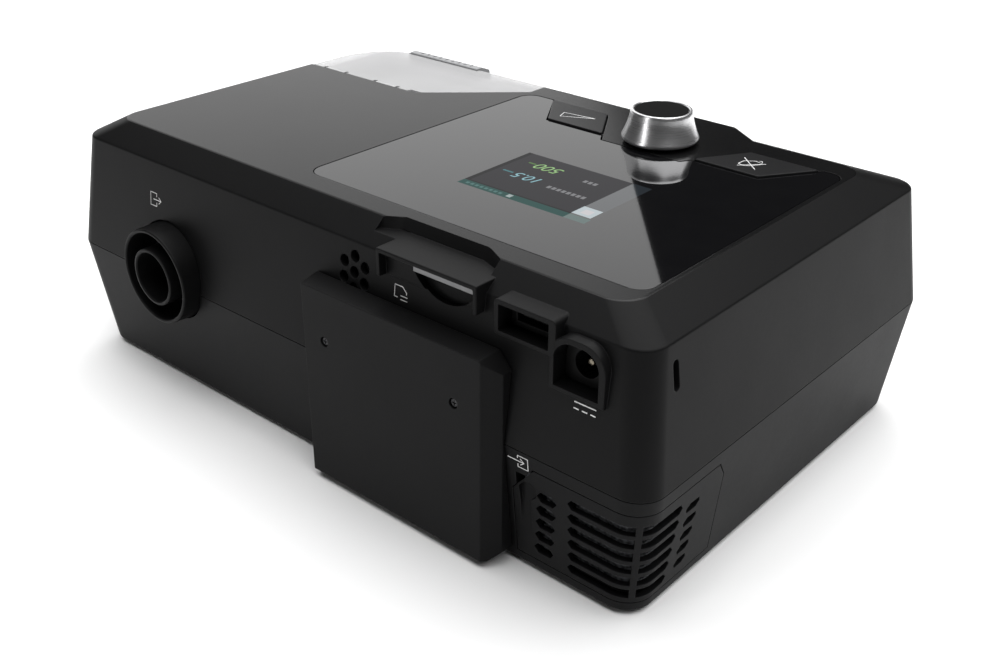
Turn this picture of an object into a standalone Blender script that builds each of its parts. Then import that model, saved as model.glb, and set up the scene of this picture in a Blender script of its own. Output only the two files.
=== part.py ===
"""Compact bi-level ventilator with a built-in heated humidifier.

Frame: +Z up, origin on the table at the middle of the case.  X runs along the
long side, the user stands at -Y, and the air outlet, ports and filter are at +Y.
"""
import math

import bmesh
import bpy
from mathutils import Matrix, Vector

MM = 0.001

# Case, seen as four rounded rectangles stacked in Z (mm).
BASE_Z, PARTING_Z, SHOULDER_Z, TOP_Z = 1.5, 44.8, 87.6, 94.9
BASE_X, BASE_Y = 131.5, 82.7
PARTING_X, PARTING_Y = 136.0, 87.4
SHOULDER_X, SHOULDER_Y = 130.2, 81.9
TOP_X, TOP_FRONT, TOP_BACK = 117.2, -62.7, 73.4
CORNER_R = 9.3
WALL = 2.5
FLOOR_Z = 4.3
CEILING_Z = 91.6

# Control panel on the top face.
PANEL_FLOOR_Z = 93.3
KNOB_X, KNOB_Y = -49.5, -40.0
KEY_BACK_Y, KEY_FRONT_Y = -31.95, -50.8
KEY_TOP_Z = 95.5
LCD_BOX = (-75.0, -20.0, -3.0, 42.0)

# Humidifier corner: opening, clear lid and water tank.
BAY_X0, BAY_X1 = 24.0, 125.0
LID_EDGE_Y = -22.0
LID_LEFT_X = 22.0
LID_BOTTOM_Z = 84.0
HINGE_Y, HINGE_Z = -22.9, 94.2
TANK_PORT_Z = 50.0

# Air outlet on the back.
OUTLET_X, OUTLET_Z = 76.0, 48.6
OUTLET_R = 11.0

# Blower.
BLOWER_X, BLOWER_Y = -58.0, 20.0
VOLUTE_R = 29.0


def at_height(z):
    """Half sizes of the case walls at height z, below the shoulder."""
    if z <= PARTING_Z:
        t = (z - BASE_Z) / (PARTING_Z - BASE_Z)
        return BASE_X + t * (PARTING_X - BASE_X), BASE_Y + t * (PARTING_Y - BASE_Y)
    t = (z - PARTING_Z) / (SHOULDER_Z - PARTING_Z)
    return PARTING_X + t * (SHOULDER_X - PARTING_X), PARTING_Y + t * (SHOULDER_Y - PARTING_Y)


def clear_scene():
    for old in list(bpy.data.objects):
        bpy.data.objects.remove(old, do_unlink=True)


def material(name, colour, roughness, metallic=0.0, alpha=1.0):
    mat = bpy.data.materials.new(name)
    mat.use_nodes = True
    shader = mat.node_tree.nodes["Principled BSDF"]
    shader.inputs["Base Color"].default_value = (*colour, 1.0)
    shader.inputs["Roughness"].default_value = roughness
    shader.inputs["Metallic"].default_value = metallic
    shader.inputs["Alpha"].default_value = alpha
    mat.diffuse_color = (*colour, alpha)
    return mat


def rounded(corners, steps=4):
    """Polygon with each corner (x, y, radius) replaced by an arc."""
    points = []
    count = len(corners)
    for i in range(count):
        x, y, radius = corners[i]
        here = Vector((x, y))
        before = (Vector(corners[i - 1][:2]) - here).normalized()
        after = (Vector(corners[(i + 1) % count][:2]) - here).normalized()
        if radius <= 0.0:
            points.append((x, y))
            continue
        half = before.angle(after) / 2.0
        reach = radius / math.tan(half)
        centre = here + (before + after).normalized() * (radius / math.sin(half))
        start = here + before * reach - centre
        end = here + after * reach - centre
        turn = start.angle_signed(end)
        for k in range(steps + 1):
            a = -turn * k / steps
            spoke = Vector((start.x * math.cos(a) - start.y * math.sin(a),
                            start.x * math.sin(a) + start.y * math.cos(a)))
            points.append(tuple(centre + spoke))
    return points


def rectangle(x0, x1, y0, y1, radius=0.0, steps=4):
    return rounded([(x1, y1, radius), (x0, y1, radius), (x0, y0, radius), (x1, y0, radius)], steps)


def circle(cx, cy, radius, steps=24):
    return [(cx + radius * math.cos(2 * math.pi * k / steps),
             cy + radius * math.sin(2 * math.pi * k / steps)) for k in range(steps)]


def finish(name, mesh_data, mat, origin=(0, 0, 0), smooth=None):
    bmesh.ops.recalc_face_normals(mesh_data, faces=mesh_data.faces)
    bmesh.ops.transform(mesh_data, matrix=Matrix.Translation(-Vector(origin)), verts=mesh_data.verts)
    bmesh.ops.scale(mesh_data, vec=(MM, MM, MM), verts=mesh_data.verts)
    mesh = bpy.data.meshes.new(name)
    mesh_data.to_mesh(mesh)
    mesh_data.free()
    obj = bpy.data.objects.new(name, mesh)
    bpy.context.collection.objects.link(obj)
    obj.location = Vector(origin) * MM
    if mat:
        mesh.materials.append(mat)
    if smooth:
        mesh.shade_smooth()
        mesh.set_sharp_from_angle(angle=math.radians(smooth))
    return obj


def skin(rings):
    """Closed body from rings of equal length, capped at both ends."""
    bm = bmesh.new()
    loops = [[bm.verts.new(p) for p in ring] for ring in rings]
    count = len(loops[0])
    for low, high in zip(loops, loops[1:]):
        for k in range(count):
            bm.faces.new((low[k], low[(k + 1) % count], high[(k + 1) % count], high[k]))
    bm.faces.new(loops[0])
    bm.faces.new(loops[-1])
    return bm


def loft(name, sections, mat=None, origin=(0, 0, 0), smooth=None):
    rings = [[(x, y, z) for x, y in outline] for outline, z in sections]
    return finish(name, skin(rings), mat, origin, smooth)


def extrude(name, outline, low, high, axis="Z", mat=None, origin=(0, 0, 0), smooth=None):
    """Prism: outline is (x, y) for Z, (x, z) for Y and (y, z) for X."""
    place = {"Z": lambda a, b, c: (a, b, c), "Y": lambda a, b, c: (a, c, b), "X": lambda a, b, c: (c, a, b)}
    rings = [[place[axis](a, b, level) for a, b in outline] for level in (low, high)]
    return finish(name, skin(rings), mat, origin, smooth)


def box(name, x0, x1, y0, y1, z0, z1, mat=None, origin=(0, 0, 0), radius=0.0):
    return extrude(name, rectangle(x0, x1, y0, y1, radius), z0, z1, "Z", mat, origin)


def turned(name, profile, centre, axis, mat=None, steps=32, origin=(0, 0, 0), smooth=35):
    """Closed profile of (radius, height) points spun about an axis through centre."""
    bm = bmesh.new()
    rings = []
    for radius, height in profile:
        ring = []
        for k in range(steps if radius > 0.0 else 1):
            a = 2 * math.pi * k / steps
            u, v = radius * math.cos(a), radius * math.sin(a)
            spot = {"Z": (u, v, height), "Y": (u, height, v), "X": (height, u, v)}[axis]
            ring.append(bm.verts.new(Vector(centre) + Vector(spot)))
        rings.append(ring)
    for i in range(len(rings)):
        one, two = rings[i], rings[(i + 1) % len(rings)]
        if len(one) == 1 and len(two) == 1:
            continue
        for k in range(steps):
            j = (k + 1) % steps
            face = [one[k % len(one)], one[j % len(one)], two[j % len(two)], two[k % len(two)]]
            bm.faces.new(list(dict.fromkeys(face)))
    return finish(name, bm, mat, origin, smooth)


def rod(name, cx, cy, radius, low, high, axis="Z", mat=None, steps=24, origin=(0, 0, 0)):
    return extrude(name, circle(cx, cy, radius, steps), low, high, axis, mat, origin, 35)


def pipe(name, path, outer, inner, mat, steps=16):
    """Hollow duct along a path of points."""
    spine = [Vector(p) for p in path]
    outside, inside = [], []
    side = Vector((0, 0, 1))
    for i, point in enumerate(spine):
        ahead = (spine[min(i + 1, len(spine) - 1)] - spine[max(i - 1, 0)]).normalized()
        across = ahead.cross(side).normalized()
        up = across.cross(ahead).normalized()
        for rings, radius in ((outside, outer), (inside, inner)):
            rings.append([point + across * radius * math.cos(2 * math.pi * k / steps)
                          + up * radius * math.sin(2 * math.pi * k / steps) for k in range(steps)])
    bm = bmesh.new()
    loops = [[bm.verts.new(p) for p in ring] for ring in outside + inside[::-1]]
    loops.append(loops[0])
    for one, two in zip(loops, loops[1:]):
        for k in range(steps):
            bm.faces.new((one[k], one[(k + 1) % steps], two[(k + 1) % steps], two[k]))
    return finish(name, bm, mat, smooth=35)


def tool(obj):
    obj.hide_render = True
    obj.display_type = "WIRE"
    return obj


def combine(obj, operand, operation="DIFFERENCE"):
    tool(operand)
    step = obj.modifiers.new(operation.title() + " " + operand.name, "BOOLEAN")
    step.operation = operation
    step.solver = "EXACT"
    step.object = operand
    return obj


def wall_outline(z, inset=0.0, radius=CORNER_R):
    half_x, half_y = at_height(z)
    half_x, half_y = half_x - inset, half_y - inset
    return rectangle(-half_x, half_x, -half_y, half_y, max(radius - inset, 1.0))


clear_scene()

casing = material("casing_black", (0.016, 0.016, 0.017), 0.42)
casing_low = material("casing_lower_black", (0.016, 0.016, 0.017), 0.45)
glass = material("panel_glass_black", (0.01, 0.01, 0.011), 0.05)
screen = material("screen_grey", (0.07, 0.07, 0.08), 0.2)
steel = material("knob_steel", (0.72, 0.72, 0.73), 0.25, 1.0)
inset = material("knob_inset_black", (0.018, 0.018, 0.018), 0.5)
key = material("key_black", (0.025, 0.025, 0.027), 0.35)
clear = material("clear_lid", (0.85, 0.88, 0.9), 0.05, 0.0, 0.35)
latch_grey = material("latch_grey", (0.42, 0.43, 0.45), 0.4)
tank = material("tank_clear", (0.8, 0.84, 0.88), 0.08, 0.0, 0.4)
tank_white = material("tank_cover_white", (0.8, 0.81, 0.82), 0.3)
silicone = material("silicone_grey", (0.55, 0.57, 0.6), 0.6)
rubber = material("rubber_black", (0.02, 0.02, 0.02), 0.8)
aluminium = material("plate_aluminium", (0.7, 0.7, 0.72), 0.35, 1.0)
zinc = material("screw_steel", (0.4, 0.4, 0.42), 0.35, 1.0)
card = material("card_grey", (0.5, 0.5, 0.52), 0.45)
board = material("board_green", (0.02, 0.13, 0.06), 0.5)
foam = material("foam_grey", (0.35, 0.36, 0.38), 0.9)
socket = material("socket_black", (0.01, 0.01, 0.01), 0.4)
white = material("blower_white", (0.7, 0.71, 0.72), 0.4)
brass = material("pin_brass", (0.75, 0.6, 0.3), 0.3, 1.0)

# Lower casing: a tapered tray with a filter well in its back corner.
lower = loft("lower_casing", [
    (rectangle(-BASE_X + 0.7, BASE_X - 0.7, -BASE_Y + 0.7, BASE_Y - 0.7, CORNER_R - 0.7), BASE_Z),
    (wall_outline(BASE_Z + 0.7), BASE_Z + 0.7),
    (wall_outline(PARTING_Z - 0.15), PARTING_Z - 0.15)], casing_low, smooth=30)


def tray_outline(z):
    half_x, half_y = at_height(z)
    half_x, half_y = half_x - WALL, half_y - WALL
    return rounded([(half_x, half_y, 7), (-86, half_y, 1), (-86, 41, 2), (-half_x, 41, 1),
                    (-half_x, -half_y, 7), (half_x, -half_y, 7)])


combine(lower, loft("cut_tray", [(tray_outline(FLOOR_Z), FLOOR_Z), (tray_outline(44.0), 44.0),
                                 (tray_outline(44.0), 48.0)]))

BOSSES = ((-120.0, -71.0), (13.0, -75.0), (118.0, 72.0), (-78.0, 77.0))
for number, (bx, by) in enumerate(BOSSES, 1):
    combine(lower, rod("boss_%d" % number, bx, by, 4.3, 3.0, 43.5, steps=16), "UNION")
for number, (bx, by) in enumerate(BOSSES, 1):
    bore = [(0, 0), (3.7, 0), (3.7, 4.4), (1.95, 4.4), (1.95, 20), (0, 20)]
    screw = [(0, 1.9), (3.2, 1.9), (3.4, 2.3), (3.4, 4.0), (1.6, 4.0), (1.6, 17), (0, 18)]
    combine(lower, turned("cut_boss_%d" % number, bore, (bx, by, 0), "Z", steps=16))
    turned("case_screw_%d" % number, screw, (bx, by, 0), "Z", zinc, 16)

FEET = ((-106.0, -60.0), (106.0, -60.0), (-106.0, 62.0), (104.0, 60.0))
for number, (fx, fy) in enumerate(FEET, 1):
    combine(lower, rod("cut_foot_%d" % number, fx, fy, 7.3, 0.0, 2.4))
    turned("foot_%d" % number, [(0, 0), (6.2, 0), (6.9, 0.7), (6.9, 2.1), (0, 2.1)],
           (fx, fy, 0), "Z", rubber, 24)

# Filter well: a ledge that the grille cover drops into, and the inlet chamber behind it.


def corner_region(name, grow):
    """The L-shaped patch round the corner, as seen from the back and from the side."""
    low, high = 5.4 - grow, 39.7 + grow
    seen_back = [(-88.7 + grow, low), (-88.7 + grow, 30.0), (-97.0 + grow, high),
                 (-145.0, high), (-145.0, low)]
    seen_side = [(44.0 - grow, low), (110.0, low), (110.0, high), (48.2 - grow, high), (44.6 - grow, 34.5)]
    back = extrude(name + "_back", seen_back, 30.0, 100.0, "Y")
    side = extrude(name + "_side", seen_side, -150.0, -70.0, "X")
    return combine(back, side, "INTERSECT")


ledge = corner_region("cut_ledge", 0.35)
combine(ledge, loft("ledge_core", [(wall_outline(-1.0, 2.5), -1.0), (wall_outline(44.8, 2.5), 44.8)]))
combine(lower, ledge)
combine(lower, box("cut_chamber", -145, -90, 46.5, 100, 7.6, 36.6))
combine(lower, box("cut_inlet_port", -95, -80, 50, 69, 12, 32))
combine(lower, box("cut_tank_front", BAY_X0, BAY_X1, -100, -76, 8.0, 60))
outlet_hole = rod("cut_outlet", OUTLET_X, OUTLET_Z, 18.8, 60, 110, "Y", steps=40)
combine(lower, outlet_hole)

cover = loft("filter_cover", [(wall_outline(0.0), 0.0), (wall_outline(44.0), 44.0)], casing_low,
             (-112, 62, 22), 30)
combine(cover, corner_region("cover_region", 0.0), "INTERSECT")
combine(cover, loft("cover_core", [(wall_outline(-1.0, 2.1), -1.0), (wall_outline(44.8, 2.1), 44.8)]))


def corner_slot(name, z, turn_start, turn_end, lead_in, lead_out):
    """One grille slot that follows the rounded corner between two angles."""
    half_x, half_y = at_height(z)
    cx, cy = -half_x + CORNER_R, half_y - CORNER_R
    outer, inner = CORNER_R + 3.0, CORNER_R - 6.0
    angles = [turn_start + (turn_end - turn_start) * k / 4 for k in range(5)]
    away = [(cx + outer * math.cos(a), cy + outer * math.sin(a)) for a in angles]
    near = [(cx + inner * math.cos(a), cy + inner * math.sin(a)) for a in angles]
    if lead_in:
        away.insert(0, (away[0][0] + lead_in, away[0][1]))
        near.insert(0, (near[0][0] + lead_in, near[0][1]))
    if lead_out:
        away.append((away[-1][0], away[-1][1] - lead_out))
        near.append((near[-1][0], near[-1][1] - lead_out))
    return extrude(name, away + near[::-1], z - 1.2, z + 1.2)


for row in range(6):
    slot_z = 34.0 - 5.0 * row
    combine(cover, corner_slot("slot_b%d" % row, slot_z, math.radians(90), math.radians(128), 15.5, 0.0))
    combine(cover, corner_slot("slot_s%d" % row, slot_z, math.radians(140), math.radians(180), 0.0, 8.0))
for row in range(5):
    slot_z = 31.0 - 5.2 * row
    combine(cover, box("slot_c%d" % row, -108.6, -100.6, 78, 92, slot_z - 1.3, slot_z + 1.3))
    combine(cover, box("slot_d%d" % row, -140, -126, 53.0, 60.4, slot_z - 1.2, slot_z + 1.2))
combine(cover, box("cut_finger_recess", -95.0, -91.3, 84.2, 92, 7.5, 29.0))

pad = loft("filter_pad", [(wall_outline(8.4, 2.9), 8.4), (wall_outline(35.8, 2.9), 35.8)],
           foam, (-112, 62, 22))
combine(pad, box("pad_region", -145, -91, 47.5, 100, 0, 50), "INTERSECT")
combine(pad, loft("pad_core", [(wall_outline(0.0, 9.0), 0.0), (wall_outline(44.0, 9.0), 44.0)]))

# Upper casing: tapered shell, sloped shoulder and flat control deck.
upper = loft("upper_casing", [
    (wall_outline(PARTING_Z + 0.15), PARTING_Z + 0.15),
    (wall_outline(SHOULDER_Z), SHOULDER_Z),
    (rectangle(-TOP_X, TOP_X, TOP_FRONT, TOP_BACK, 8.5), TOP_Z)], casing, smooth=30)

combine(upper, loft("front_step", [
    ([(-84, -66), (-64, -80.4), (-25, -80.4), (-14, -66)], 88.2),
    ([(-76, -62), (-61, -72.0), (-28.1, -72.0), (-19.7, -62)], TOP_Z)]), "UNION")
combine(upper, box("card_housing", -74.4, -34.0, 60, 84.0, 83.0, 91.2), "UNION")
combine(upper, extrude("port_hood", rectangle(-102.6, -80.6, 78.8, 90.0, 1.5), 60, 85.9, "Y"), "UNION")
DC_ARCH = [(-100.4, 69.0, 0), (-119.4, 69.0, 0), (-119.4, 86.6, 7.5), (-100.4, 86.6, 7.5)]
combine(upper, extrude("power_hood", rounded(DC_ARCH), 60, 85.7, "Y"), "UNION")


def deck_outline(z, reach):
    half_x, half_y = at_height(z)
    return rectangle(-half_x + reach, half_x - reach, -half_y + reach, half_y - reach, 7)


combine(upper, loft("cut_upper_cavity", [
    (deck_outline(44.8, WALL), 43.0), (deck_outline(44.8, WALL), 44.8), (deck_outline(86.6, WALL), 86.6),
    (rectangle(-114.6, 114.6, -60.2, 70.9, 6), CEILING_Z)]))

GLASS = [(21.6, 64.2, 6), (-115.7, 64.2, 6), (-115.7, -52.3, 5), (-107.9, -52.3, 1), (-94.8, -31.4, 1),
         (-68.9, -31.4, 1), (-66.3, -27.2, 1), (-32.7, -27.2, 1), (-30.1, -31.4, 1), (-4.2, -31.4, 1),
         (8.9, -52.3, 1), (21.6, -52.3, 6)]
GLASS_POCKET = [(21.9, 64.5, 6.3), (-116.0, 64.5, 6.3), (-116.0, -52.6, 5.3), (-107.7, -52.6, 1),
                (-94.6, -31.7, 1), (-68.5, -31.7, 1), (-65.9, -27.5, 1), (-33.1, -27.5, 1),
                (-30.5, -31.7, 1), (-4.4, -31.7, 1), (8.7, -52.6, 1), (21.9, -52.6, 6.3)]
combine(upper, extrude("cut_glass", rounded(GLASS_POCKET), PANEL_FLOOR_Z, 98))
combine(upper, box("cut_screen", LCD_BOX[0] - 0.5, LCD_BOX[1] + 0.5, LCD_BOX[2] - 0.5, LCD_BOX[3] + 0.5,
                   85, 98))
RAMP = [(8.0, KEY_FRONT_Y, 0.8), (-4.6, KEY_BACK_Y, 0.8), (-29.9, KEY_BACK_Y, 0.8),
        (-18.4, KEY_FRONT_Y, 0.8)]
MUTE = [(2 * KNOB_X - x, y, r) for x, y, r in RAMP][::-1]
GROW = 0.4
RAMP_HOLE = [(8.7, KEY_FRONT_Y - GROW, 1), (-4.4, KEY_BACK_Y + GROW, 1), (-30.6, KEY_BACK_Y + GROW, 1),
             (-18.6, KEY_FRONT_Y - GROW, 1)]
MUTE_HOLE = [(2 * KNOB_X - x, y, r) for x, y, r in RAMP_HOLE][::-1]
combine(upper, extrude("cut_ramp_key", rounded(RAMP_HOLE), 80, 98))
combine(upper, extrude("cut_mute_key", rounded(MUTE_HOLE), 80, 98))
combine(upper, rod("cut_shaft", KNOB_X, KNOB_Y, 4.2, 80, 98))

# Lid opening, hinge lugs and the front opening of the tank bay.
LID_HOLE = [(LID_LEFT_X, -110, 0), (150, -110, 0), (150, LID_EDGE_Y, 0), (59.4, LID_EDGE_Y, 1.5),
            (55.0, -23.3, 2), (LID_LEFT_X, -53.9, 2)]
combine(upper, extrude("cut_lid", rounded(LID_HOLE), LID_BOTTOM_Z - 0.4, 100))
combine(upper, box("cut_tank_upper", BAY_X0, BAY_X1, -100, -76, 30, LID_BOTTOM_Z + 1))
HINGES = (73.0, 103.0)
for number, hx in enumerate(HINGES, 1):
    for side in (-1, 1):
        low, high = sorted((hx + side * 3.5, hx + side * 7.0))
        tag = "%d%s" % (number, "a" if side < 0 else "b")
        lug = [(-20.5, 92.2), (-20.5, TOP_Z - 0.1), (HINGE_Y, 95.3), (-23.9, 94.8), (-24.0, 93.7),
               (HINGE_Y, 92.9)]
        combine(upper, extrude("lug_" + tag, lug, low, high, "X"), "UNION")
    combine(upper, box("cut_knuckle_%d" % number, hx - 3.5, hx + 3.5, -23.0, -21.3, 90, 97))
    combine(upper, rod("cut_pin_%d" % number, HINGE_Y, HINGE_Z, 0.62, hx - 6.6, hx + 6.6, "X", steps=12))
    rod("hinge_pin_%d" % number, HINGE_Y, HINGE_Z, 0.45, hx - 6.3, hx + 6.3, "X", zinc, 12)

combine(upper, outlet_hole)
combine(upper, loft("cut_back_notch", [
    ([(-72.4, 90), (-72.4, 74.4), (-64.3, 71.6), (-31.1, 71.6), (-24.9, 75.0), (-24.9, 90)], 91.2),
    ([(-72.4, 90), (-72.4, 73.2), (-64.3, 69.0), (-31.1, 69.2), (-24.9, 73.2), (-24.9, 90)], 96.0)]))
combine(upper, box("cut_card_slot", -72.0, -47.2, 60, 95, 86.6, 89.5))
combine(upper, rod("cut_thumb", -59.6, 94.0, 14.3, 80.6, 95, "Y", steps=40))
combine(upper, box("cut_port", -100.2, -82.2, 70, 95, 80.2, 88.5))
DC_POCKET = [(-102.0, 70.4, 0), (-117.4, 70.4, 0), (-117.4, 84.8, 6), (-102.0, 84.8, 6)]
combine(upper, extrude("cut_power", rounded(DC_POCKET), 70, 95, "Y"))
SPEAKER = (-20.8, 77.6)
for number in range(7):
    a = math.radians(30 + 60 * number)
    reach = 5.3 if number < 6 else 0.0
    hole_x, hole_z = SPEAKER[0] + reach * math.cos(a), SPEAKER[1] + reach * math.sin(a)
    combine(upper, rod("cut_speaker_%d" % number, hole_x, hole_z, 2.0, 70, 95, "Y", steps=12))
combine(upper, extrude("cut_side_slot", rectangle(68.8, 71.6, 73.3, 82.6, 1.3, 3), -140, -128.0, "X"))

# Control deck pieces.
extrude("panel_glass", rounded(GLASS), 93.45, 94.85, mat=glass)
box("lcd_module", *LCD_BOX, 88.0, 92.95, screen)
extrude("ramp_key", rounded(RAMP), 91.75, KEY_TOP_Z, mat=key, origin=(-11.2, -41.4, KEY_TOP_Z))
extrude("mute_key", rounded(MUTE), 91.75, KEY_TOP_Z, mat=key, origin=(-87.8, -41.4, KEY_TOP_Z))
turned("knob_body", [
    (0, 105.3), (9.75, 105.3), (9.75, 106.9), (10.3, 107.1), (10.9, 106.8), (11.2, 106.0), (11.5, 104.2),
    (12.1, 101.7), (12.9, 99.4), (13.6, 97.9), (13.9, 97.1), (13.7, 96.4), (13.0, 96.0), (3.3, 96.0),
    (3.3, 104.3), (0, 104.3)], (KNOB_X, KNOB_Y, 0), "Z", steel, 48, (KNOB_X, KNOB_Y, 96.0))
turned("knob_inset", [(0, 105.6), (9.45, 105.6), (9.45, 106.6), (9.2, 106.8), (0, 106.8)],
       (KNOB_X, KNOB_Y, 0), "Z", inset, 48, (KNOB_X, KNOB_Y, 96.0))
turned("encoder_shaft", [(0, 91.6), (3.0, 91.6), (3.0, 103.9), (0, 103.9)],
       (KNOB_X, KNOB_Y, 0), "Z", zinc, 24, (KNOB_X, KNOB_Y, 91.6))
encoder = box("encoder_body", KNOB_X - 6.2, KNOB_X + 6.2, KNOB_Y - 6.2, KNOB_Y + 6.2,
              87.7, 91.2, zinc)
combine(encoder, rod("cut_encoder", KNOB_X, KNOB_Y, 3.3, 89.5, 93))
keys = box("key_board", -112, 14, -56, -1, 86.0, 87.4, board)
for number, (sx, sy) in enumerate(((-11.0, -41.4), (-88.0, -41.4)), 1):
    combine(keys, rod("switch_%d" % number, sx, sy, 3.0, 87.0, 91.1, steps=16), "UNION")

# Back panel sockets.
sd_socket = box("sd_socket", -73.6, -45.6, 46.5, 71.0, 85.2, 90.7, zinc)
combine(sd_socket, box("cut_sd_socket", -72.0, -47.2, 50.5, 80, 86.6, 89.5))
CARD = [(-71.6, 51.9, 0), (-47.6, 51.9, 0), (-47.6, 84.3, 0.5), (-71.6, 84.3, 0.5)]
extrude("sd_card", rounded(CARD), 87.0, 89.1, mat=card, origin=(-59.6, 84.3, 88.0))
port = box("comm_port", -99.6, -82.8, 60, 80.6, 80.7, 88.0, socket)
combine(port, box("cut_comm_mouth", -97.8, -84.6, 70, 90, 82.0, 86.4))
JACK = [(-102.4, 70.8, 0), (-117.0, 70.8, 0), (-117.0, 84.4, 5.8), (-102.4, 84.4, 5.8)]
jack = extrude("dc_jack", rounded(JACK), 61, 80.4, "Y", socket)
combine(jack, rod("cut_dc_mouth", -109.7, 77.4, 4.2, 66, 90, "Y", steps=24))
rod("dc_pin", -109.7, 77.4, 1.1, 66.3, 79.0, "Y", brass, 12)
rod("speaker", SPEAKER[0], SPEAKER[1], 10.5, 62, 75.6, "Y", rubber, 24)

# Air outlet: a sunk ring with the tapered hose tube in its middle.
turned("air_outlet", [
    (9.3, 62), (9.3, 94.0), (9.7, 94.4), (OUTLET_R - 0.4, 94.4), (OUTLET_R - 0.1, 94.0), (OUTLET_R, 80.5),
    (16.3, 80.5), (16.5, 93.3), (16.9, 93.8), (17.7, 93.8), (18.1, 93.3), (18.4, 79.0), (17.0, 78.0),
    (12.5, 77.0), (12.5, 62)], (OUTLET_X, 0, OUTLET_Z), "Y", casing, 40)

# Add-on module plate on the back.
MODULE_SIDE = [(83.2, 2.7), (87.85, PARTING_Z), (84.2, 73.2), (93.4, 73.2), (93.4, 2.7)]
MODULE_PLAN = [(-2.8, 80), (-6.6, 93.4), (-6.6, 96), (-82.3, 96), (-82.3, 93.4), (-86.6, 88.4), (-86.6, 80)]
MODULE_FACE = [(0, 2.0), (0, 75), (-79.7, 75), (-86.8, 68.3), (-86.8, 5.9), (-82.9, 2.0)]
module = extrude("add_on_module", MODULE_SIDE, -90.0, -1.0, "X", casing_low)
combine(module, extrude("module_plan", MODULE_PLAN, 0, 80), "INTERSECT")
combine(module, extrude("module_face", MODULE_FACE, 80, 96, "Y"), "INTERSECT")
for number, screw_x in enumerate((-16.2, -71.8), 1):
    bore = [(0, 86.0), (1.1, 86.0), (1.1, 91.9), (1.75, 91.9), (1.75, 94.0), (0, 94.0)]
    screw = [(0, 87.0), (0.8, 87.0), (0.8, 92.2), (1.45, 92.2), (1.45, 92.9), (0, 92.9)]
    combine(module, turned("cut_module_%d" % number, bore, (screw_x, 0, 55.4), "Y", steps=16))
    turned("module_screw_%d" % number, screw, (screw_x, 0, 55.4), "Y", zinc, 16)

# Clear lid over the tank, hinged along its back edge.
LID_X, LID_Y = 22.4, -22.4
LID_DIAGONAL = [(60.4, LID_Y, 0.5), (59.8, -24.3, 0.6), (54.3, -24.3, 2), (LID_X, -54.2, 2)]
lid = loft("clear_lid", [
    (rounded([(LID_X, -82.3, 0.5), (130.6, -82.3, 12), (130.6, LID_Y, 0.5)] + LID_DIAGONAL), LID_BOTTOM_Z),
    (rounded([(LID_X, -81.9, 0.5), (130.2, -81.9, 12), (130.2, LID_Y, 0.5)] + LID_DIAGONAL), SHOULDER_Z),
    (rounded([(LID_X, -63.0, 0.5), (116.0, -63.0, 24.5), (116.0, LID_Y, 0.5)] + LID_DIAGONAL), TOP_Z)],
           clear, (88, HINGE_Y, HINGE_Z), 30)
combine(lid, loft("cut_lid_inside", [
    (rounded([(10, -80.3, 1), (128.6, -80.3, 10), (128.6, -10, 1), (10, -10, 1)]), 83.0),
    (rounded([(10, -79.8, 1), (128.1, -79.8, 10), (128.1, -10, 1), (10, -10, 1)]), 87.0),
    (rounded([(10, -61.0, 1), (114.0, -61.0, 22.5), (114.0, -10, 1), (10, -10, 1)]), 92.8)]))
for number, hx in enumerate(HINGES, 1):
    combine(lid, box("cut_hinge_%d" % number, hx - 7.4, hx + 7.4, -24.5, -20, 90, 97))
    knuckle = [(-25.5, 94.8), (-25.5, 92.9), (-23.6, 92.9), (-22.4, 93.2), (-21.9, 94.0), (-22.2, 94.9),
               (HINGE_Y, 95.3), (-23.6, 95.1)]
    combine(lid, extrude("knuckle_%d" % number, knuckle, hx - 3.1, hx + 3.1, "X"), "UNION")
    combine(lid, rod("cut_bore_%d" % number, HINGE_Y, HINGE_Z, 0.62, hx - 4, hx + 4, "X", steps=12))
combine(lid, box("cut_latch", 57.6, 97.9, -70.4, -61.4, 88, 98))
LATCH = [(-61.8, 91.2), (-61.8, 95.5), (-64.8, 95.7), (-70.0, 93.6), (-70.0, 90.4), (-68.0, 90.4),
         (-66.5, 91.2)]
extrude("lid_latch", LATCH, 58.0, 97.5, "X", latch_grey, (77.75, -66.0, 95.6))
SEAL = [(28.5, -57.5, 2), (108, -57.5, 12), (108, -28.5, 3), (60, -28.5, 3)]
SEAL_INSIDE = [(39, -53.5, 2), (104, -53.5, 9), (104, -32.5, 2), (62, -32.5, 2)]
seal = extrude("lid_seal", rounded(SEAL), 90.4, 92.5, mat=silicone, origin=(88, HINGE_Y, HINGE_Z))
combine(seal, extrude("cut_seal", rounded(SEAL_INSIDE), 89, 94))

# Humidifier bay: a liner that the water tank slides into, with the heater in its floor.
bay = box("humidifier_bay", 22.6, 126.4, -79.4, 14.0, 5.0, 83.2, casing_low, radius=6)
combine(bay, box("cut_bay", 24.2, 124.8, -90, 12.4, 6.6, 81.6))
combine(bay, box("cut_bay_top", 24.2, 124.8, -90, LID_EDGE_Y - 0.2, 70, 90))
combine(bay, box("cut_heater", 35.0, 113.0, -62.0, -2.0, 4, 8))
PORTS = (40.0, OUTLET_X)
for number, px in enumerate(PORTS, 1):
    combine(bay, rod("cut_bay_port_%d" % number, px, TANK_PORT_Z - 1.4 * (number - 1), 10.2, 10, 18, "Y"))
box("heater_plate", 35.5, 112.5, -61.5, -2.5, 5.0, 8.6, aluminium, radius=3)

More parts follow.
